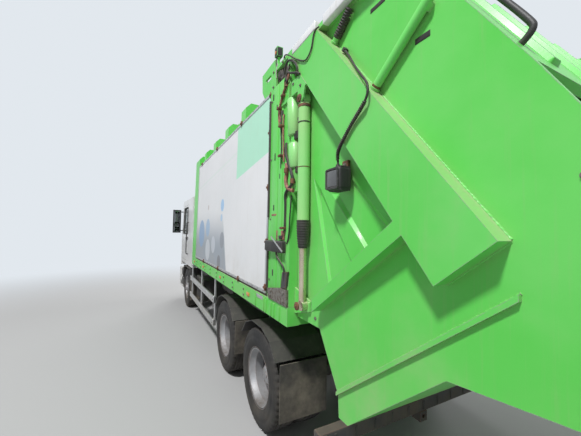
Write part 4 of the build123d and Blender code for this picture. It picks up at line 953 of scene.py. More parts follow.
def cab_front_fittings():
    fins = [block(CAB_FRONT, y - 5, 1230, CAB_FRONT + 11, y + 5, 1754, 0.002) for y in range(-720, 721, 120)]
    add("grille_insert", [block(CAB_FRONT - 4, -770, 1222, CAB_FRONT + 5, 770, 1762, 0.004)] + fins,
        "black_plastic", "cab")
    rim = softened(facing(CAB_FRONT, *rectangle(-790, 1205, 790, 1782)), 0.04)
    add("grille_surround", [moulding(rim, FORWARD, GRILLE_FRAME)], "white_paint", "cab")
    add("cab_front_band", [block(CAB_FRONT - 3, -1020, 1812, CAB_FRONT + 9, 1020, 1930, 0.006)],
        "black_plastic", "cab")
    add("roof_markers", [block(7230, y - 55, 2946, 7320, y + 55, 2985, 0.014, 4)
                         for y in (-950, -520, 0, 520, 950)], "amber_lens", "cab")
    add("roof_hatch", blocks((6250, -330, 2945, 6900, 330, 2972, 0.012),
                             (6300, -280, 2968, 6850, 280, 2984, 0.012)), "white_paint", "cab")
    add("cab_rear_ribs", [block(5488, y - 60, 1300, 5504, y + 60, 2700, 0.007) for y in range(-960, 961, 240)],
        "white_paint", "cab")
    add("dash_binnacles", blocks((7050, 160, 1860, 7290, 680, 1975, 0.03),
                                 (7060, -700, 1850, 7250, -120, 1930, 0.03)), "black_plastic", "cab")


def bumper_fittings():
    """Lamps, indicators and steps on both corners of the bumper, and the bare plate."""
    lenses, ambers, dark, bright, light = [], [], [], [], []
    front = BUMPER_FRONT
    for _, side in SIDES:
        rim = softened(facing(front, *[(side * y, z) for y, z in rectangle(825, 612, 1145, 808)]), 0.03)
        dark.append(moulding(rim, FORWARD, LAMP_FRAME))
        for y in (910, 1060):
            centre = spot(front, side * y, 710)
            bright.append(lathe(HEADLAMP_RING, centre, "x", steps=48))
            lenses.append(turned(HEADLAMP_LENS, centre, "x", 48))
        ambers.append(block(front - 6, side * 1156 - 8, 630, front + 7, side * 1206 + 2, 790, 0.008, 4))
        lenses.append(block(front - 6, side * 620 - 60, 420, front + 6, side * 620 + 60, 500, 0.010, 4))
        light.append(block(7290, side * 1220 - 6, 440, 7420, side * 1220 + 8, 560, 0.006))
        for z in (400, 655):
            light.append(block(6890, side * 1196 - 12, z, 7285, side * 1196 + 22, z + 42, 0.008))
            tooth = block(6900, side * 1206 - 8, z + 40, 6918, side * 1206 + 10, z + 47, 0.002, 1)
            light.append(copies(tooth, [(k * 0.034, 0, 0) for k in range(11)]))
            dark.append(block(6900, side * 1200 - 3, z + 46, 7275, side * 1200 + 3, z + 205, 0.002))
    eye = lathe([(-0.02, 0.034), (0.03, 0.034), (0.03, 0.020), (-0.02, 0.020)], spot(front + 4, 420, 700), "y")
    add("headlamp_lenses", lenses, "clear_lens")
    add("headlamp_rings", bright, "aluminium")
    add("front_indicators", ambers, "amber_lens")
    add("step_recesses", dark + [mirrored(eye), eye], "black_plastic")
    add("step_treads", light, "aluminium")
    add("bare_front_plate", [block(front - 4, -262, 440, front + 5, 262, 560, 0.003)], "white_paint")


windscreen_trim()
door_trim()
cab_front_fittings()
bumper_fittings()


# Body
PANEL_REAR, PANEL_FRONT, PANEL_FOOT, PANEL_CROWN = 480, 4650, 1470, 3555
PANEL_TILT = 0.0149
PANEL_FRAME = [(-0.002, -0.014), (-0.002, 0.004), (0.002, 0.007), (0.026, 0.007), (0.030, 0.004),
               (0.030, -0.002)]
LATCHES = ((486, 3522), (486, 3120), (486, 2550), (486, 1990), (486, 1530), (1496, 3548), (2900, 3548),
           (4300, 3548), (1400, 1478), (2500, 1478), (3700, 1478))
SILL_SIDE = 1250
POST_SIDE = 1238
# Folds of the post as rear and front station and how far they stand out; slots as station, height, length
POST_FOLDS = ((262, 388, 7), (152, 228, 10), (12, 60, 6))
POST_SLOTS = ((380, 3450, 60), (289, 3316, 46), (159, 3213, 50), (201, 3099, 60), (320, 2830, 70),
              (200, 2620, 46), (330, 2330, 56), (190, 1990, 40), (330, 1700, 60))


def panel_y(z):
    """Outer face of the leaning side panel at a height in millimetres."""
    return 1250 - 32 * (z - 1440) / 2145


def panel_fittings():
    frames, latches, heads = [], [], []
    row = np.linspace(PANEL_REAR + 60, PANEL_FRONT - 60, 26) / 1000
    for _, side in SIDES:
        normal = (0, side * 0.99989, PANEL_TILT)
        corners = rectangle(PANEL_REAR, PANEL_FOOT, PANEL_FRONT, PANEL_CROWN)
        outline = softened([spot(x, side * panel_y(z), z) for x, z in corners], 0.012)
        frames.append(moulding(outline, normal, PANEL_FRAME))
        for x, z in LATCHES:
            y = side * (panel_y(z) + 6)
            latches.append(block(x - 13, y - 12, z - 34, x + 13, y + 14, z + 34, 0.006))
            latches.append(block(x - 24, y - 9, z - 12, x + 24, y + 20, z + 12, 0.005))
        for z in (PANEL_FOOT + 14, PANEL_CROWN - 14):
            base = spot(0, side * (panel_y(z) + 6.5), z)
            heads.append(copies(hexagon((0, 0, 0), normal, 0.010, 0.004), [base + (x, 0, 0) for x in row]))
    add("panel_frames", frames, "aluminium")
    add("panel_latches", latches, "rusted")
    add("panel_bolts", heads, "nut_steel")


def sill_fittings():
    brackets, ambers, plates, heads, lines = [], [], [], [], []
    for _, side in SIDES:
        sill = side * SILL_SIDE
        for x in (764, 520, 461, 339, 270, 151):
            brackets.append(block(x - 7, side * 1254 - 8, 1284, x + 7, side * 1254 + 9, 1418, 0.003))
        for x in range(1160, 4960, 475):
            brackets.append(block(x - 22, sill - 6, 1292, x + 22, sill + 6, 1424, 0.004))
            heads += bolts(beside(side * 1256, (x, 1325), (x, 1392)), (0, side, 0), 0.020, 0.010)
        for x in (1010, 2350, 3750, 4800):
            ambers.append(block(x - 45, sill - 4, 1336, x + 45, sill + 12, 1378, 0.008, 4))
        plates.append(block(560, sill - 3, 1386, 744, sill + 3, 1424, 0.002))
        for y, z, sway, wave, radius in ((1212, 1252, 8, 190, 0.011), (1188, 1238, 6, 230, 0.008)):
            lines.append(carried(beside(side * y, *[(x, z + sway * math.sin(x / wave))
                                                    for x in range(560, 5040, 90)]), radius, 8))
    add("sill_brackets", brackets, "green_paint")
    add("side_markers", ambers, "amber_lens")
    add("bare_plates", plates, "aluminium")
    add("sill_bolts", heads, "nut_steel")
    add("sill_lines", lines, "rubber")


def post_fittings():
    """Folds, slots and bolts on the rear ring's posts, and eyes on the roof."""
    folds, slots, heads, eyes = [], [], [], []
    for _, side in SIDES:
        face = side * POST_SIDE
        out = (0, side, 0)
        folds += [block(low, face - 4, 1446, high, face + lift, 3538, 0.005) for low, high, lift in POST_FOLDS]
        slots += [block(x - 9, side * (POST_SIDE + 6) - 3, z - tall / 2, x + 9, side * (POST_SIDE + 8) + 3,
                        z + tall / 2, 0.002) for x, z, tall in POST_SLOTS]
        heads += bolts(beside(face, *[(425, z) for z in range(1620, 3500, 600)]), out, 0.016, 0.007)
        heads += bolts(beside(face, *[(x, z) for x in (190, 405) for z in (3566, 3722)]), out, 0.020, 0.010)
        eyes += [band(place, "y", 0.012, 0.040, 0.022, 20)
                 for place in beside(side * 1000, *[(630 + index * 860, 3822) for index in (0, 2, 4, 5)])]
    add("post_folds", folds, "green_paint")
    add("post_slots", slots, "rubber")
    add("post_bolts", heads, "nut_steel")
    add("roof_eyes", eyes, "green_paint")


panel_fittings()
sill_fittings()
post_fittings()


# Tailgate
GUIDE_ROOT, GUIDE_ANGLE = (-440, 3094), math.radians(51.5)
GUIDE_ALONG = (-math.cos(GUIDE_ANGLE), -math.sin(GUIDE_ANGLE))
GUIDE_ACROSS = (-math.sin(GUIDE_ANGLE), math.cos(GUIDE_ANGLE))
TAIL_SIDE = 1150
GUARD_SIDE = 1151
CABLE_RADIUS = 0.0075
CABLE_ALONG_GUIDE = ((-60, 358, 1176), (0, 358, 1176), (85, 353, 1188), (170, 351, 1204), (255, 353, 1222),
                     (335, 358, 1242), (400, 363, 1258), (450, 364, 1269), (482, 358, 1275), (509, 340, 1277),
                     (526, 313, 1277), (532, 278, 1276), (527, 225, 1271), (521, 168, 1268), (524, 105, 1269),
                     (531, 45, 1269), (529, -15, 1264))
CABLE_TO_LAMP = ((-720, 1255, 2642), (-702, 1247, 2623), (-690, 1238, 2601), (-685, 1230, 2577),
                 (-685, 1230, 2553))
LAMP_TRIM = [(0, 0), (0.002, 0.008), (0.012, 0.008), (0.016, 0.001), (0.016, -0.002)]
CABLE_INLET = [(0, 0.018), (0.014, 0.018), (0.016, 0.014), (0.026, 0.013), (0.028, 0.010)]
COVER_TOP, COVER_KNEE = np.array([-1180, 3670.0]), np.array([-1750, 2750.0])
COVER_NORMAL = np.array([-920.0, 0, 570.0]) / math.hypot(920, 570)
COVER_RIB = [(0, -0.002), (0.014, 0.022), (0.040, 0.022), (0.044, 0.018), (0.044, -0.002)]
BEACON_BASE = [(0, 0.075), (0.020, 0.075), (0.026, 0.068), (0.040, 0.064)]
BEACON_DOME = [(0.038, 0.062), (0.100, 0.058), (0.125, 0.046), (0.138, 0.026), (0.142, 0.006)]
PIN_CAP = [(0, 0.034), (0.008, 0.034), (0.012, 0.029), (0.012, 0.012), (0.020, 0.010)]


def guide(along, across, y):
    """Point beside the slide guide, in millimetres along and across it."""
    return spot(GUIDE_ROOT[0] + along * GUIDE_ALONG[0] + across * GUIDE_ACROSS[0], y,
                GUIDE_ROOT[1] + along * GUIDE_ALONG[1] + across * GUIDE_ACROSS[1])


def lamp_cables():
    """Cable from its gland over the guide's ledge down to the work lamp, taped round where it hangs."""
    route = [guide(*place) for place in CABLE_ALONG_GUIDE] + [spot(*place) for place in CABLE_TO_LAMP]
    line = spline_points(route)
    cable = carried(line, CABLE_RADIUS, 10)
    tape = wrapped(line[len(line) // 2:-10], 0.0085, 0.0125, 0.0052)
    for name, side in SIDES:
        piece = add(f"work_lamp_cable_{name}", [turned_to(side, cable)], "rubber", "tailgate", 50)
        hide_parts(f"lamp_cable_{name}")
        wrap = add(f"work_lamp_tape_{name}", [turned_to(side, tape)], "rubber", "tailgate", 50)


def tail_add(name, shapes, look, smooth=40):
    """A pair of pieces on the tailgate's two sides."""
    return add(name, shapes, look, "tailgate", smooth, pair=True)


def tail_lamp_pieces():
    """Work lamps, cable boxes and rear clusters in place of their plain solids."""
    house = blocks((-760, 1168, 2380, -610, 1278, 2534, 0.022, 4), (-745, 1250, 2385, -625, 1284, 2395, 0.004))
    house.append(turned(CABLE_INLET, spot(-685, 1230, 2532), "z"))
    house += [block(-756 + k * 24, 1180, 2376, -746 + k * 24, 1262, 2538, 0.003) for k in range(6)]
    rim = softened(beside(1278, *rectangle(-756, 2386, -614, 2528)), 0.02)
    house.append(moulding(rim, LEFT, LAMP_TRIM))
    gland = [guide(a, c, 0)[[0, 2]] for a, c in rectangle(-92, 344, -62, 372)]
    house.append(slab(gland, 1.150, 1.187, 0.005))
    house.append(block(-2008, 1112, 1562, -1952, 1198, 1968, 0.012))
    screws = bolts(beside(1279, (-746, 2396), (-746, 2518), (-624, 2396), (-624, 2518)), LEFT, 0.010, 0.006)
    screws += bolts([spot(-685, 1172, 2560)], LEFT, 0.022, 0.010)
    housing = tail_add("tail_lamp_housings", house, "black_plastic")
    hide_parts("tail_lamps")
    tail_add("tail_lamp_brackets", blocks((-716, 1148, 2400, -654, 1172, 2592, 0.004),
                                          (-700, 1150, 2535, -670, 1240, 2545, 0.003)), "rusted")
    tail_add("tail_lamp_screws", screws, "nut_steel")
    tail_add("work_lamp_lenses", [block(-740, 1270, 2402, -630, 1283, 2512, 0.005)], "smoked_lens")
    for name, look, feet in (("stop_lenses", "red_lens", (1572, 1868)), ("turn_lenses", "amber_lens", (1672,)),
                             ("reverse_lenses", "clear_lens", (1770,))):
        tail_add(name, [block(-2017, 1120, z, -2000, 1190, z + 84, 0.008, 4) for z in feet], look)


def tail_side_pieces():
    tail_add("tail_roof_edges", blocks((-404, 1176, 3672, -24, 1254, 3742, 0.007),
                                       (-1218, 1176, 3668, -474, 1230, 3744, 0.007)), "white_paint")
    tail_add("tail_slots", blocks((-1030, 1147, 3486, -905, 1153, 3514, 0.003),
                                  (-1330, 1147, 3090, -1240, 1153, 3122, 0.003)), "rubber")
    collars = []
    for along, radius in ((437, 26), (-235, 22)):
        line = [guide(along, 342 + across, TAIL_SIDE + 6 + radius) for across in (-9, -7, 7, 9)]
        rims = np.array([radius + 1, radius + 7, radius + 7, radius + 1]) / 1000
        collars.append(carried(line, rims, 24))
    path = [guide(-235, across, 1178) for across in range(376, 572, 12)]
    rust = carried([guide(437, across, 1182) for across in range(346, 366, 6)], 0.0272, 16)
    tail_add("tube_collars", collars, "green_paint")
    tail_add("tube_sleeves", [wrapped(path, 0.025, 0.017, 0.0065, 6), carried(path, 0.0235, 16)], "rubber")
    tail_add("tube_rust", [rust], "rusted")
    lines = [[guide(along, across, GUARD_SIDE) for along, across in ends]
             for ends in (((-330, 336), (1555, 336)), ((-560, -1), (1555, -1)), ((1561, 2), (1561, 333)))]
    a = math.radians(36)
    lines.append(beside(GUARD_SIDE, *[(-400 - d * math.cos(a), 1602 + d * math.sin(a)) for d in (0, 985)]))
    lines.append(beside(GUARD_SIDE, (-604, 1013), (-1699, 1891)))
    tail_add("tail_welds", [weld_bead(line) for line in lines], "green_paint", 70)
    places = beside(1254, (-178, 3215), (-185, 1500))
    tail_add("pin_caps", [turned(PIN_CAP, place, "y") for place in places], "rusted")
    places = beside(1254, (-60, 3388), (-190, 3320))
    places += beside(TAIL_SIDE, (-60, 1460), (-300, 1420), (-60, 1700), (-60, 2700), (-60, 2950),
                     (-1880, 2300), (-1880, 1600))
    tail_add("tail_bolts", bolts(places, LEFT, 0.020, 0.009), "nut_steel")


def on_cover(y, share, lift=0.0):
    """Point on the tailgate's upper rear cover: share runs from its upper edge to the knee."""
    place = COVER_TOP + share * (COVER_KNEE - COVER_TOP)
    return spot(place[0], y, place[1]) + COVER_NORMAL * lift


def tail_rear_pieces():
    """Ribs, rails, beacons, rubbers and bolts on the rear of the tailgate and on the bin lift."""
    ribs, rails = [], []
    for y in (-820, -410, 0, 410, 820):
        outline = [on_cover(*corner) for corner in rectangle(y - 45, 0.10, y + 45, 0.90)]
        ribs.append(moulding(softened(outline, 0.02), COVER_NORMAL, COVER_RIB))
    for y in (-1040, 1040):
        rails.append(hose([on_cover(y, 0.45), on_cover(y, 0.45, 0.06), on_cover(y, 0.50, 0.07),
                           on_cover(y, 0.80, 0.07), on_cover(y, 0.85, 0.06), on_cover(y, 0.85)], 0.014))
        rails.append(hose(beside(y, (-1905, 2480), (-1985, 2450), (-1992, 2380), (-1992, 2150), (-1985, 2080),
                                 (-1950, 2070)), 0.014))
    add("cover_ribs", ribs, "green_paint", "tailgate")
    add("rear_grab_rails", rails, "black_plastic", "tailgate")
    add("hopper_sill_rubber", [block(-1967, -1105, 1492, -1935, 1105, 1612, 0.008)], "rubber", "tailgate")
    places = facing(-1967, *[(y, 1552) for y in range(-1020, 1021, 170)])
    add("hopper_sill_bolts", bolts(places, BACKWARD, 0.024, 0.010), "nut_steel", "tailgate")
    places = [spot(-1040, y, 3670) for y in (-900, 900)]
    add("beacon_bases", [turned(BEACON_BASE, place, "z", 32) for place in places], "black_plastic", "tailgate")
    add("beacon_domes", [turned(BEACON_DOME, place, "z", 32) for place in places], "amber_lens", "tailgate")
    add("upper_rear_markers", [block(-1215, y - 60, 3600, -1196, y + 60, 3640, 0.006) for y in (-900, 900)],
        "red_lens", "tailgate")
    pads = [block(-2092, y - 32, 1196, -2082, y + 32, 1326, 0.004) for y in range(-750, 751, 150)]
    pads.append(block(-2094, -780, 866, -2088, 780, 924, 0.003))
    add("bin_lift_pads", pads, "rubber", "bin_lifter")
    places = facing(-2090, *[(y, z) for y in (-620, 620) for z in (1000, 1080, 1480, 1560)])
    add("bin_lift_bolts", bolts(places, BACKWARD, 0.022, 0.010), "nut_steel", "bin_lifter")


lamp_cables()
tail_lamp_pieces()
tail_side_pieces()
tail_rear_pieces()


# Rear corner: hoses, guards and boxes on the ring's post. A hose is its radius and its points.
FRONT_PIPE = ((7, 1262, 3510), (20, 1266, 3480), (54, 1268, 3431), (110, 1268, 3376), (167, 1264, 3313),
              (205, 1256, 3262), (214, 1249, 3200), (208, 1246, 3140))
CORNER_PIPES = (
    (0.011, *FRONT_PIPE),
    (0.008, *[(x + 26, y, z - 20) for x, y, z in FRONT_PIPE[3:]]),
    (0.0075, (133, 1246, 3190), (136, 1250, 3160), (138, 1250, 3019), (124, 1250, 2890), (118, 1248, 2740)),
    (0.016, (56, 1250, 2709), (30, 1256, 2640), (50, 1262, 2560), (20, 1264, 2490), (-40, 1262, 2462),
     (-92, 1256, 2448)))
CORNER_HOSES = (
    (0.013, (70, 1244, 2900), (60, 1262, 2824), (10, 1268, 2738), (-56, 1268, 2637), (-100, 1266, 2560),
     (-92, 1266, 2500), (20, 1262, 2462), (66, 1256, 2420), (60, 1248, 2330), (78, 1246, 2100)),
    (0.012, (-36, 1150, 3352), (-44, 1190, 3316), (-30, 1212, 3206), (-50, 1212, 3110), (-70, 1196, 3060),
     (-60, 1170, 2980)),
    (0.009, (174, 1246, 3240), (166, 1252, 3200), (178, 1252, 3060), (160, 1250, 2900), (172, 1248, 2760),
     (176, 1246, 2690)),
    (0.010, (40, 1240, 3620), (30, 1262, 3560), (64, 1272, 3500), (20, 1272, 3450), (70, 1268, 3420),
     (96, 1256, 3460), (120, 1244, 3500)),
    (0.006, (-30, 1240, 2415), (-27, 1246, 2311), (-18, 1248, 2190), (-3, 1248, 2031), (30, 1250, 1990)),
    (0.009, (220, 1262, 1905), (201, 1268, 1871), (123, 1270, 1827), (50, 1268, 1791), (41, 1262, 1743),
     (60, 1252, 1640)))
HINGE_HOSES = (
    (0.009, (120, 1256, 3560), (80, 1262, 3620), (24, 1268, 3645), (-57, 1268, 3600), (-134, 1266, 3530),
     (-150, 1264, 3470), (-120, 1262, 3430)),
    (0.010, (110, 1252, 3480), (50, 1262, 3560), (-7, 1270, 3510), (-90, 1272, 3470), (-160, 1268, 3440),
     (-190, 1264, 3415)),
    (0.006, (174, 1236, 3752), (110, 1262, 3740), (46, 1266, 3708), (-20, 1266, 3660), (-78, 1262, 3608),
     (-163, 1260, 3548), (-267, 1259, 3484), (-315, 1259, 3492), (-368, 1259, 3529), (-391, 1259, 3620),
     (-417, 1258, 3660), (-440, 1236, 3672)))
GUARD_SLOPE = 0.0958
GUARD_RIMS = [0.050, 0.058, 0.058, 0.050]
EYE_PROFILE = [(0, 0.017), (0.006, 0.016), (0.009, 0.009), (0.010, 0.003)]
BARREL_HEAD = 3215
BARREL_TOP, BARREL_FOOT = spot(-178, 1206, BARREL_HEAD), spot(-185, 1206, 1500)
BOOT_STEPS = 40
BOOT_FOLDS = 11


def corner_pieces():
    """Pipes, hoses, clips, boxes, seals and lamps on the ring's posts, and black pieces that are painted
    shade.
    """
    add("corner_pipes", [pipe(*row) for row in CORNER_PIPES], "pink_rust", pair=True)
    add("corner_hoses", [pipe(*row) for row in CORNER_HOSES], "rubber", pair=True)
    clips = [block(x - 24, 1236, z - 11, x + 24, 1288, z + 11, 0.006)
             for x, z in ((110, 3352), (196, 3262), (152, 3080), (150, 2800), (84, 2130))]
    clips += [band(place, "z", 0.02, 0.021, 0.012, 16)
              for place in beside(1264, (54, 3431), (-92, 2530), (30, 2640))]
    add("pipe_clips", clips, "rusted", pair=True)
    add("corner_box", blocks((60, 1236, 1906, 438, 1288, 2012, 0.012, 4),
                             (68, 1284, 1914, 430, 1294, 2004, 0.005),
                             (120, 1238, 2030, 180, 1262, 2062, 0.006)), "black_plastic", pair=True)
    strip = side_slab(((269, 2058), (22, 1930), (26, 1916), (276, 2044)), 1.292, 1.299, 0.002)
    add("box_strip", [strip], "aluminium", pair=True)
    add("corner_patch", blocks((88, 1240, 2022, 262, 1247, 2108, 0.002),
                               (266, 1243, 2250, 380, 1247, 2268, 0.001)), "pink_rust", pair=True)
    # The strut is near black: painted shade where it lies in shadow.
    strut = side_slab(((-7, 1750), (91, 1736), (114, 1590), (15, 1602)), 1.236, 1.262, 0.003)
    add("shaded_corner_strut", [strut], "dark_paint", pair=True)
    # Rubber seals beside the panel's rear edge; the long black strip under the panel is painted shade, filling
    # the gap above the sill that lies in shadow.
    add("post_seals_and_gap_shade", blocks((446, 1236, 2240, 474, 1252, 3440, 0.003),
                             (452, 1236, 1500, 478, 1252, 2010, 0.003),
                             (470, 1212, 1442, 4620, 1240, 1466, 0.003)), "rubber", pair=True)
    foot = side_slab(((2, 1446), (2, 1590), (114, 1592), (416, 1540), (402, 1446)), 1.236, 1.263, 0.004)
    places = beside(1262, (60, 1480), (60, 1555), (340, 1480), (330, 1525))
    add("post_foot", [foot] + bolts(places, LEFT, 0.026, 0.012), "nut_steel", pair=True)
    # Black blocks set back in the ring's top pocket are painted shade where the pocket lies in shadow; the
    # four pipes among them are hoses.
    dark = blocks((86, 1176, 3551, 344, 1204, 3709, 0.004), (120, 1200, 3560, 250, 1232, 3640, 0.012),
                  (262, 1200, 3600, 330, 1228, 3690, 0.010))
    dark += [pipe(0.009, (x, 1190, 3560), (x + 14, 1226, 3590), (x - 12, 1232, 3640), (x + 20, 1200, 3700))
             for x in (110, 176, 236, 300)]
    sleeves = []
    for high, low in ((3290, 2945), (2875, 2650)):
        line = beside(1213, *[(8 - GUARD_SLOPE * (3275 - z), z) for z in (high, high - 10, low + 10, low)])
        sleeves.append(carried(line, GUARD_RIMS, 24))
        shift = GUARD_SLOPE * (high - low)
        # Black block at the foot of each sleeve: painted shade in the gap between the sleeves.
        dark.append(block(-82 - shift, 1206, low - 46, -12 - shift, 1236, low + 24, 0.004))
    add("guard_sleeves", sleeves, "cylinder_green", pair=True)
    add("ring_pocket_shade_blocks", dark, "rubber", pair=True)
    stay = pipe(0.005, (352, 1222, 3800), (340, 1236, 3740), (316, 1256, 3660), (284, 1262, 3600))
    add("pole_lamp_stays", [stay], "grey_paint", pair=True)
    head = [block(341, 1166, 3874, 409, 1234, 3970, 0.012, 4),
            turned([(0, 0.030), (0.006, 0.030), (0.008, 0.020)], spot(375, 1200, 3750), "z"),
            pipe(0.006, (375, 1218, 3770), (384, 1226, 3800), (388, 1222, 3860), (380, 1210, 3880))]
    add("pole_lamp_heads", head, "black_plastic", pair=True)
    add("pole_lamp_lenses", [turned(EYE_PROFILE, spot(375, 1233, 3915), "y")], "amber_lens", pair=True)


def hinge_hoses():
    """Hoses that cross the hinge between the ring and the tailgate, on neither body."""
    for name, side in SIDES:
        shape = turned_to(side, joined([pipe(*row) for row in HINGE_HOSES]))
        piece = add(f"hinge_hoses_{name}", [shape], "rubber", None)
        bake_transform(piece)


def cylinder_pieces():
    """Rings, strap and boot on each lift barrel.

    The boot's radius falls with the share of its length to the power 2.2, plus a sine for its folds."""
    down = (BARREL_FOOT - BARREL_TOP) / np.linalg.norm(BARREL_FOOT - BARREL_TOP)

    def at_height(z):
        return BARREL_TOP + down * (BARREL_HEAD / 1000 - z / 1000)

    def ring(high, low, radius, lip):
        return straight(at_height(high), at_height(low), radius, 32, lip)

    rings = [ring(3166, 3140, 0.0535, 0.002), ring(2640, 2632, 0.0515, 0.001)]
    share = np.linspace(0, 1, BOOT_STEPS)
    folds = 0.0545 - 0.016 * share ** 2.2 + 0.0022 * np.sin(share * 2 * math.pi * BOOT_FOLDS)
    boot = carried([at_height(z) for z in np.linspace(2196, 1966, BOOT_STEPS)], folds, 32)
    boot_shape = joined([boot, ring(3018, 3008, 0.0530, 0.001)])
    for name, side in SIDES:
        body = f"lift_barrel_{name}"
        add(f"lift_rings_{name}", [turned_to(side, joined(rings))], "rusted", body)
        add(f"lift_boot_{name}", [turned_to(side, boot_shape)], "rubber", body, 60)


corner_pieces()
hinge_hoses()
cylinder_pieces()


# Chassis
SPRING_SIDE = 390
RAIL_SIDE = 1221
SHAFT_ENDS = ((2330, 560), (4500, 640))
CHAMBER = [(-0.10, 0.060), (-0.02, 0.078), (-0.004, 0.088), (0.004, 0.088), (0.02, 0.078), (0.11, 0.072),
           (0.12, 0.060)]
SHAFT_JOINT = [(-0.06, 0.05), (-0.05, 0.08), (0.05, 0.08), (0.06, 0.05)]
TANK_STRAP = [(-0.002, 0), (-0.002, 0.044), (0.004, 0.044), (0.004, 0)]
FILLER_CAP = [(0, 0.060), (0.018, 0.060), (0.026, 0.054), (0.030, 0.040), (0.031, 0.010)]
OIL_CAP = [(0, 0.055), (0.030, 0.055), (0.040, 0.045), (0.042, 0.010)]
# Mud flaps as station, foot, head and inner edge
FLAPS = ((205, 330, 860, 690), (1625, 420, 860, 690), (5540, 300, 760, 935))
FLAP_OUTER = 1210


def capped_tank(start, end, radius, sides=40):
    """Tank with bulged ends: the radius falls as a quarter ellipse towards each end."""
    along = (end - start) / np.linalg.norm(end - start)
    turn = np.linspace(0.12, math.pi / 2, 7)
    head = [start + along * radius * 0.45 * (1 - math.sin(t)) for t in turn]
    tail = [end - along * radius * 0.45 * (1 - math.sin(t)) for t in turn[::-1]]
    size = [radius * math.sin(t) ** 0.5 for t in turn]
    groove = radius * 0.5 + 0.004
    seam = [start + along * radius * 0.5, start + along * groove, end - along * groove,
            end - along * radius * 0.5]
    radii = size + [radius, radius * 0.985, radius * 0.985, radius] + size[::-1]
    return carried(head + seam + tail, np.array(radii), sides)


def leaf_pack(station, y, half, low, leaves, thick=0.013, rise=0.0):
    """Spring leaves, each shorter than the one above and bowed by the square of the distance."""
    pieces = []
    share = np.linspace(-1, 1, 17)
    centre = spot(station, y, 0)
    for k in range(leaves):
        x = share * half * (1 - 0.82 * (k / (leaves - 1)) ** 1.15)
        z = low + rise * (x / half) ** 2 + (leaves - 1 - k) * thick
        grid = [np.column_stack([centre[0] + x, centre[1] + dy + 0 * x, z + dz])
                for dy, dz in ((-0.034, 0), (-0.034, thick - 0.0015), (0.034, thick - 0.0015), (0.034, 0))]
        pieces.append(surface(np.stack(grid, 1), wrap_v=True, caps=True))
    return joined(pieces)


def spring_leaves():
    """Leaf packs of the front axle and the bogie with their seats, hangers and U bolts."""
    packs = []
    for side in (1, -1):
        y = side * SPRING_SIDE
        packs.append(leaf_pack(6200, y, 0.56, 0.590, 5, rise=0.105))
        packs.append(block(6140, y - 37, 584, 6260, y + 37, 668, 0.006))
        packs += [block(x - 46, y - 37, 690, x + 46, y + 37, 782, 0.010) for x in (5690, 6710)]
        packs.append(leaf_pack(1465, y, 0.79, 0.612, 9, thick=0.016))
        packs.append(block(1305, y - 37, 700, 1625, y + 37, 781, 0.010))
        for x, z in ((1380, 600), (1550, 600), (6150, 576), (6250, 576)):
            packs.append(pipe(0.008, (x, y - 42, z), (x, y - 44, z + 120), (x, y, z + 168),
                              (x, y + 44, z + 120), (x, y + 42, z), sides=8))
    leaves = add("spring_leaves", packs, "dark_paint")
    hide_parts("spring_packs")


def chassis_fittings():
    """Air tanks, brake chambers, drive shafts and silencer under the body."""
    tanks = [capped_tank(spot(3130, 690, z), spot(3900, 690, z), radius)
             for z, radius in ((640, 0.135), (925, 0.120))]
    straps = []
    for x in (3300, 3730):
        straps += [band(spot(x, 690, z), "x", 0.02, r, r + 0.004, 40) for z, r in ((640, 0.137), (925, 0.122))]
        straps.append(block(x - 22, 428, 600, x + 22, 560, 960, 0.004))
    add("air_tanks", tanks, "dark_paint")
    add("tank_straps", straps, "nut_steel")
    chambers = [turned(CHAMBER, spot(x, y, 560), "x", 32) for x in (575, 1975) for y in (470, -470)]
    shafts = [straight(*beside(0, *SHAFT_ENDS), 0.055, 24)]
    shafts += [turned(SHAFT_JOINT, place, "x") for place in beside(0, *SHAFT_ENDS)]
    shafts.append(straight(*beside(0, (960, 540), (1970, 540)), 0.045, 24))
    silencer = capped_tank(spot(4480, -640, 640), spot(5350, -640, 640), 0.150)
    inlet = pipe(0.045, (5360, -640, 640), (5480, -640, 640), (5600, -560, 690), (5720, -420, 760), sides=16)
    outlet = pipe(0.045, (4475, -640, 640), (4400, -640, 630), (4340, -640, 560), (4330, -640, 470), sides=16)
    add("brake_chambers", chambers, "dark_paint")
    add("drive_shafts", shafts, "dark_paint")
    add("silencer", [silencer, inlet, outlet], "rusted")
    spring_leaves()
    flaps = []
    for x, low, high, inner in FLAPS:
        flaps.append(block(x - 7, inner, low, x + 7, FLAP_OUTER, high, 0.004))
        flaps.append(block(x - 7, -FLAP_OUTER, low, x + 7, -inner, high, 0.004))
    add("mud_flaps", flaps, "rubber")


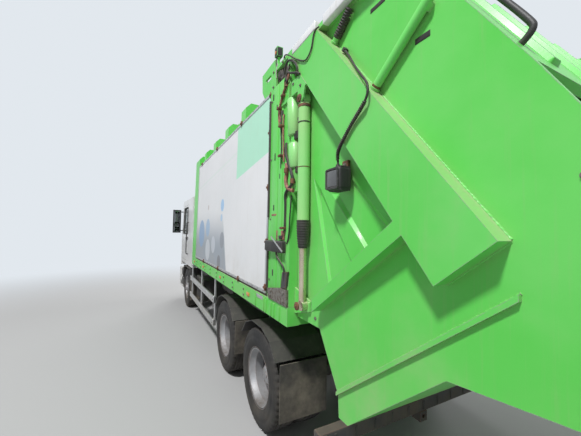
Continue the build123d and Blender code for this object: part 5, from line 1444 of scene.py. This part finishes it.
def tank_fittings():
    """Straps, caps, ribs and slots on the boxes between the axles, and the guards' ends."""
    straps, ribs = [], []
    for x in (3560, 3900, 4240):
        rim = softened(facing(x - 22, *rectangle(-1132, 478, -428, 984)), 0.06)
        straps.append(moulding(rim, FORWARD, TANK_STRAP))
    dark = [turned(FILLER_CAP, spot(3480, -1020, 978), "z", 32)]
    ribs += [block(x - 14, 1116, 545, x + 14, 1127, 955, 0.005) for x in range(4340, 5080, 92)]
    ribs.append(block(4296, 1060, 972, 5104, 1128, 990, 0.006))
    dark += [block(x - 28, 1118, 905, x + 28, 1134, 950, 0.005) for x in (4420, 4980)]
    for z in range(2280, 2830, 52):
        dark += blocks((5215, 976, z, 5405, 988, z + 26, 0.006), (5183, 800, z, 5194, 960, z + 26, 0.004))
    bright = [turned(OIL_CAP, spot(5270, -600, 1948), "z", 32)]
    bright += blocks((5160, -868, 1340, 5176, -852, 1900, 0.004), (5240, -906, 1400, 5360, -896, 1540, 0.006))
    add("tank_bands", straps, "nut_steel")
    add("battery_ribs", ribs, "black_plastic")
    add("filler_caps", dark, "black_plastic")
    add("intake_hat", [block(5180, 770, 2890, 5440, 990, 2925, 0.012)], "black_plastic")
    add("oil_fittings", bright, "aluminium")
    ends, heads = [], []
    for side in (1, -1):
        rail = side * RAIL_SIDE
        for z in (420, 820):
            ends += [block(x - 12, side * 1205 - 17, z - 3, x + 12, side * 1205 + 17, z + 113, 0.010)
                     for x in (2930, 5520)]
            ends += [block(2930, rail - 3, z + rise, 5520, rail + 3, z + rise + 12, 0.003)
                     for rise in (14, 49, 84)]
            places = beside(rail, *[(x, z + 55) for x in (2960, 4240, 5460)])
            heads += bolts(places, (0, side, 0), 0.018, 0.008)
    add("guard_rail_ends", ends, "aluminium")
    add("guard_bolts", heads, "nut_steel")
    caps = [block(-386, y - 12, 470, -378, y + 12, 548, 0.003) for y in range(-1000, 1001, 200)]
    caps += [block(-392, y - 40, 462, -372, y + 40, 560, 0.010) for y in (1120, -1120)]
    add("underrun_caps", caps, "black_plastic")


chassis_fittings()
tank_fittings()


# Stage, light and camera
BACKDROP = rgb(0.80, 0.85, 0.90)
BACKDROP_GLOW = 0.95
FLOOR_TONE = rgb(0.44, 0.44, 0.44)
FLOOR_FADE = (6.0, 14.0)
FLOOR_REACH = 60.0
AMBIENT = 0.28


def floor_finish():
    """Pale floor that passes into the backdrop's tone far from the truck, for the camera alone."""
    material = bpy.data.materials.new("floor")
    material.use_nodes = True
    tree = material.node_tree
    shader = tree.nodes["Principled BSDF"]
    for socket, value in (("Base Color", FLOOR_TONE), ("Roughness", 0.9), ("Specular IOR Level", 0.1)):
        shader.inputs[socket].default_value = value
    reach = put(tree, "ShaderNodeVectorMath", [(0, object_point(tree))], operation="LENGTH").outputs["Value"]
    seen = put(tree, "ShaderNodeLightPath").outputs["Is Camera Ray"]
    far = times(tree, ramp(tree, reach, *FLOOR_FADE), seen)
    glow = put(tree, "ShaderNodeEmission", [("Color", BACKDROP), ("Strength", BACKDROP_GLOW)]).outputs[0]
    mix = put(tree, "ShaderNodeMixShader", [(0, far), (1, shader.outputs[0]), (2, glow)]).outputs[0]
    tree.links.new(mix, tree.nodes["Material Output"].inputs["Surface"])
    return material


def floor():
    mesh = bpy.data.meshes.new("floor")
    corners = rectangle(-FLOOR_REACH, -FLOOR_REACH, FLOOR_REACH, FLOOR_REACH)
    mesh.from_pydata([(x, y, 0) for x, y in corners], [], [(0, 1, 2, 3)])
    plane = bpy.data.objects.new("floor", mesh)
    bpy.context.scene.collection.objects.link(plane)
    mesh.materials.append(floor_finish())


def lamp(name, place, target, size, power):
    """A round area light at a place, in metres, turned to its target; its power is in watts."""
    data = bpy.data.lights.new(name, "AREA")
    data.shape = "DISK"
    data.size = size
    data.energy = power
    light = bpy.data.objects.new(name, data)
    bpy.context.scene.collection.objects.link(light)
    light.location = place
    direction = Vector(target) - Vector(place)
    light.rotation_euler = direction.to_track_quat("-Z", "Y").to_euler()


def sky():
    """Dim even light on the truck; the camera, mirrors and glass see the backdrop instead."""
    world = bpy.data.worlds.new("studio")
    bpy.context.scene.world = world
    world.use_nodes = True
    tree = world.node_tree
    tree.nodes.clear()
    path = put(tree, "ShaderNodeLightPath").outputs
    seen = calc(tree, "MAXIMUM", path["Is Camera Ray"],
                calc(tree, "MAXIMUM", path["Is Glossy Ray"], path["Is Transmission Ray"]))
    ambient, shown = (put(tree, "ShaderNodeBackground", [("Color", color), ("Strength", strength)]).outputs[0]
                      for color, strength in ((rgb(0.95, 0.98, 1.0), AMBIENT), (BACKDROP, BACKDROP_GLOW)))
    mix = put(tree, "ShaderNodeMixShader", [(0, seen), (1, ambient), (2, shown)]).outputs[0]
    put(tree, "ShaderNodeOutputWorld", [(0, mix)])


def camera():
    """The photograph's camera from its place, its three angles and its focal length in pixels."""
    yaw, pitch, roll = (math.radians(a) for a in (CAMERA_YAW, CAMERA_PITCH, CAMERA_ROLL))
    forward = Vector((math.cos(pitch) * math.cos(yaw), -math.sin(yaw) * math.cos(pitch), math.sin(pitch)))
    right = forward.cross(Vector((0, 0, 1))).normalized()
    up = right.cross(forward)
    tilted_up = up * math.cos(roll) - right * math.sin(roll)
    tilted_right = right * math.cos(roll) + up * math.sin(roll)
    data = bpy.data.cameras.new("camera")
    data.sensor_width = 36.0
    data.lens = data.sensor_width * PHOTO_FOCAL / PHOTO_WIDTH
    data.clip_start = 0.05
    data.clip_end = 300.0
    view = bpy.data.objects.new("camera", data)
    bpy.context.scene.collection.objects.link(view)
    turn = Matrix((tilted_right, tilted_up, -forward)).transposed()
    view.matrix_world = Matrix.Translation(CAMERA_PLACE) @ turn.to_4x4()
    bpy.context.scene.camera = view


floor()
sky()
lamp("key", (-9.7, 12.2, 21.6), (-1.0, 0.8, 1.5), 2.6, 6600)
lamp("fill", (4.0, -13.0, 6.0), (0.0, 0.0, 1.5), 8.0, 900)
lamp("front", (13.0, -3.0, 7.0), (3.0, 0.0, 1.5), 6.0, 650)
camera()
bpy.context.scene.view_settings.view_transform = "Standard"
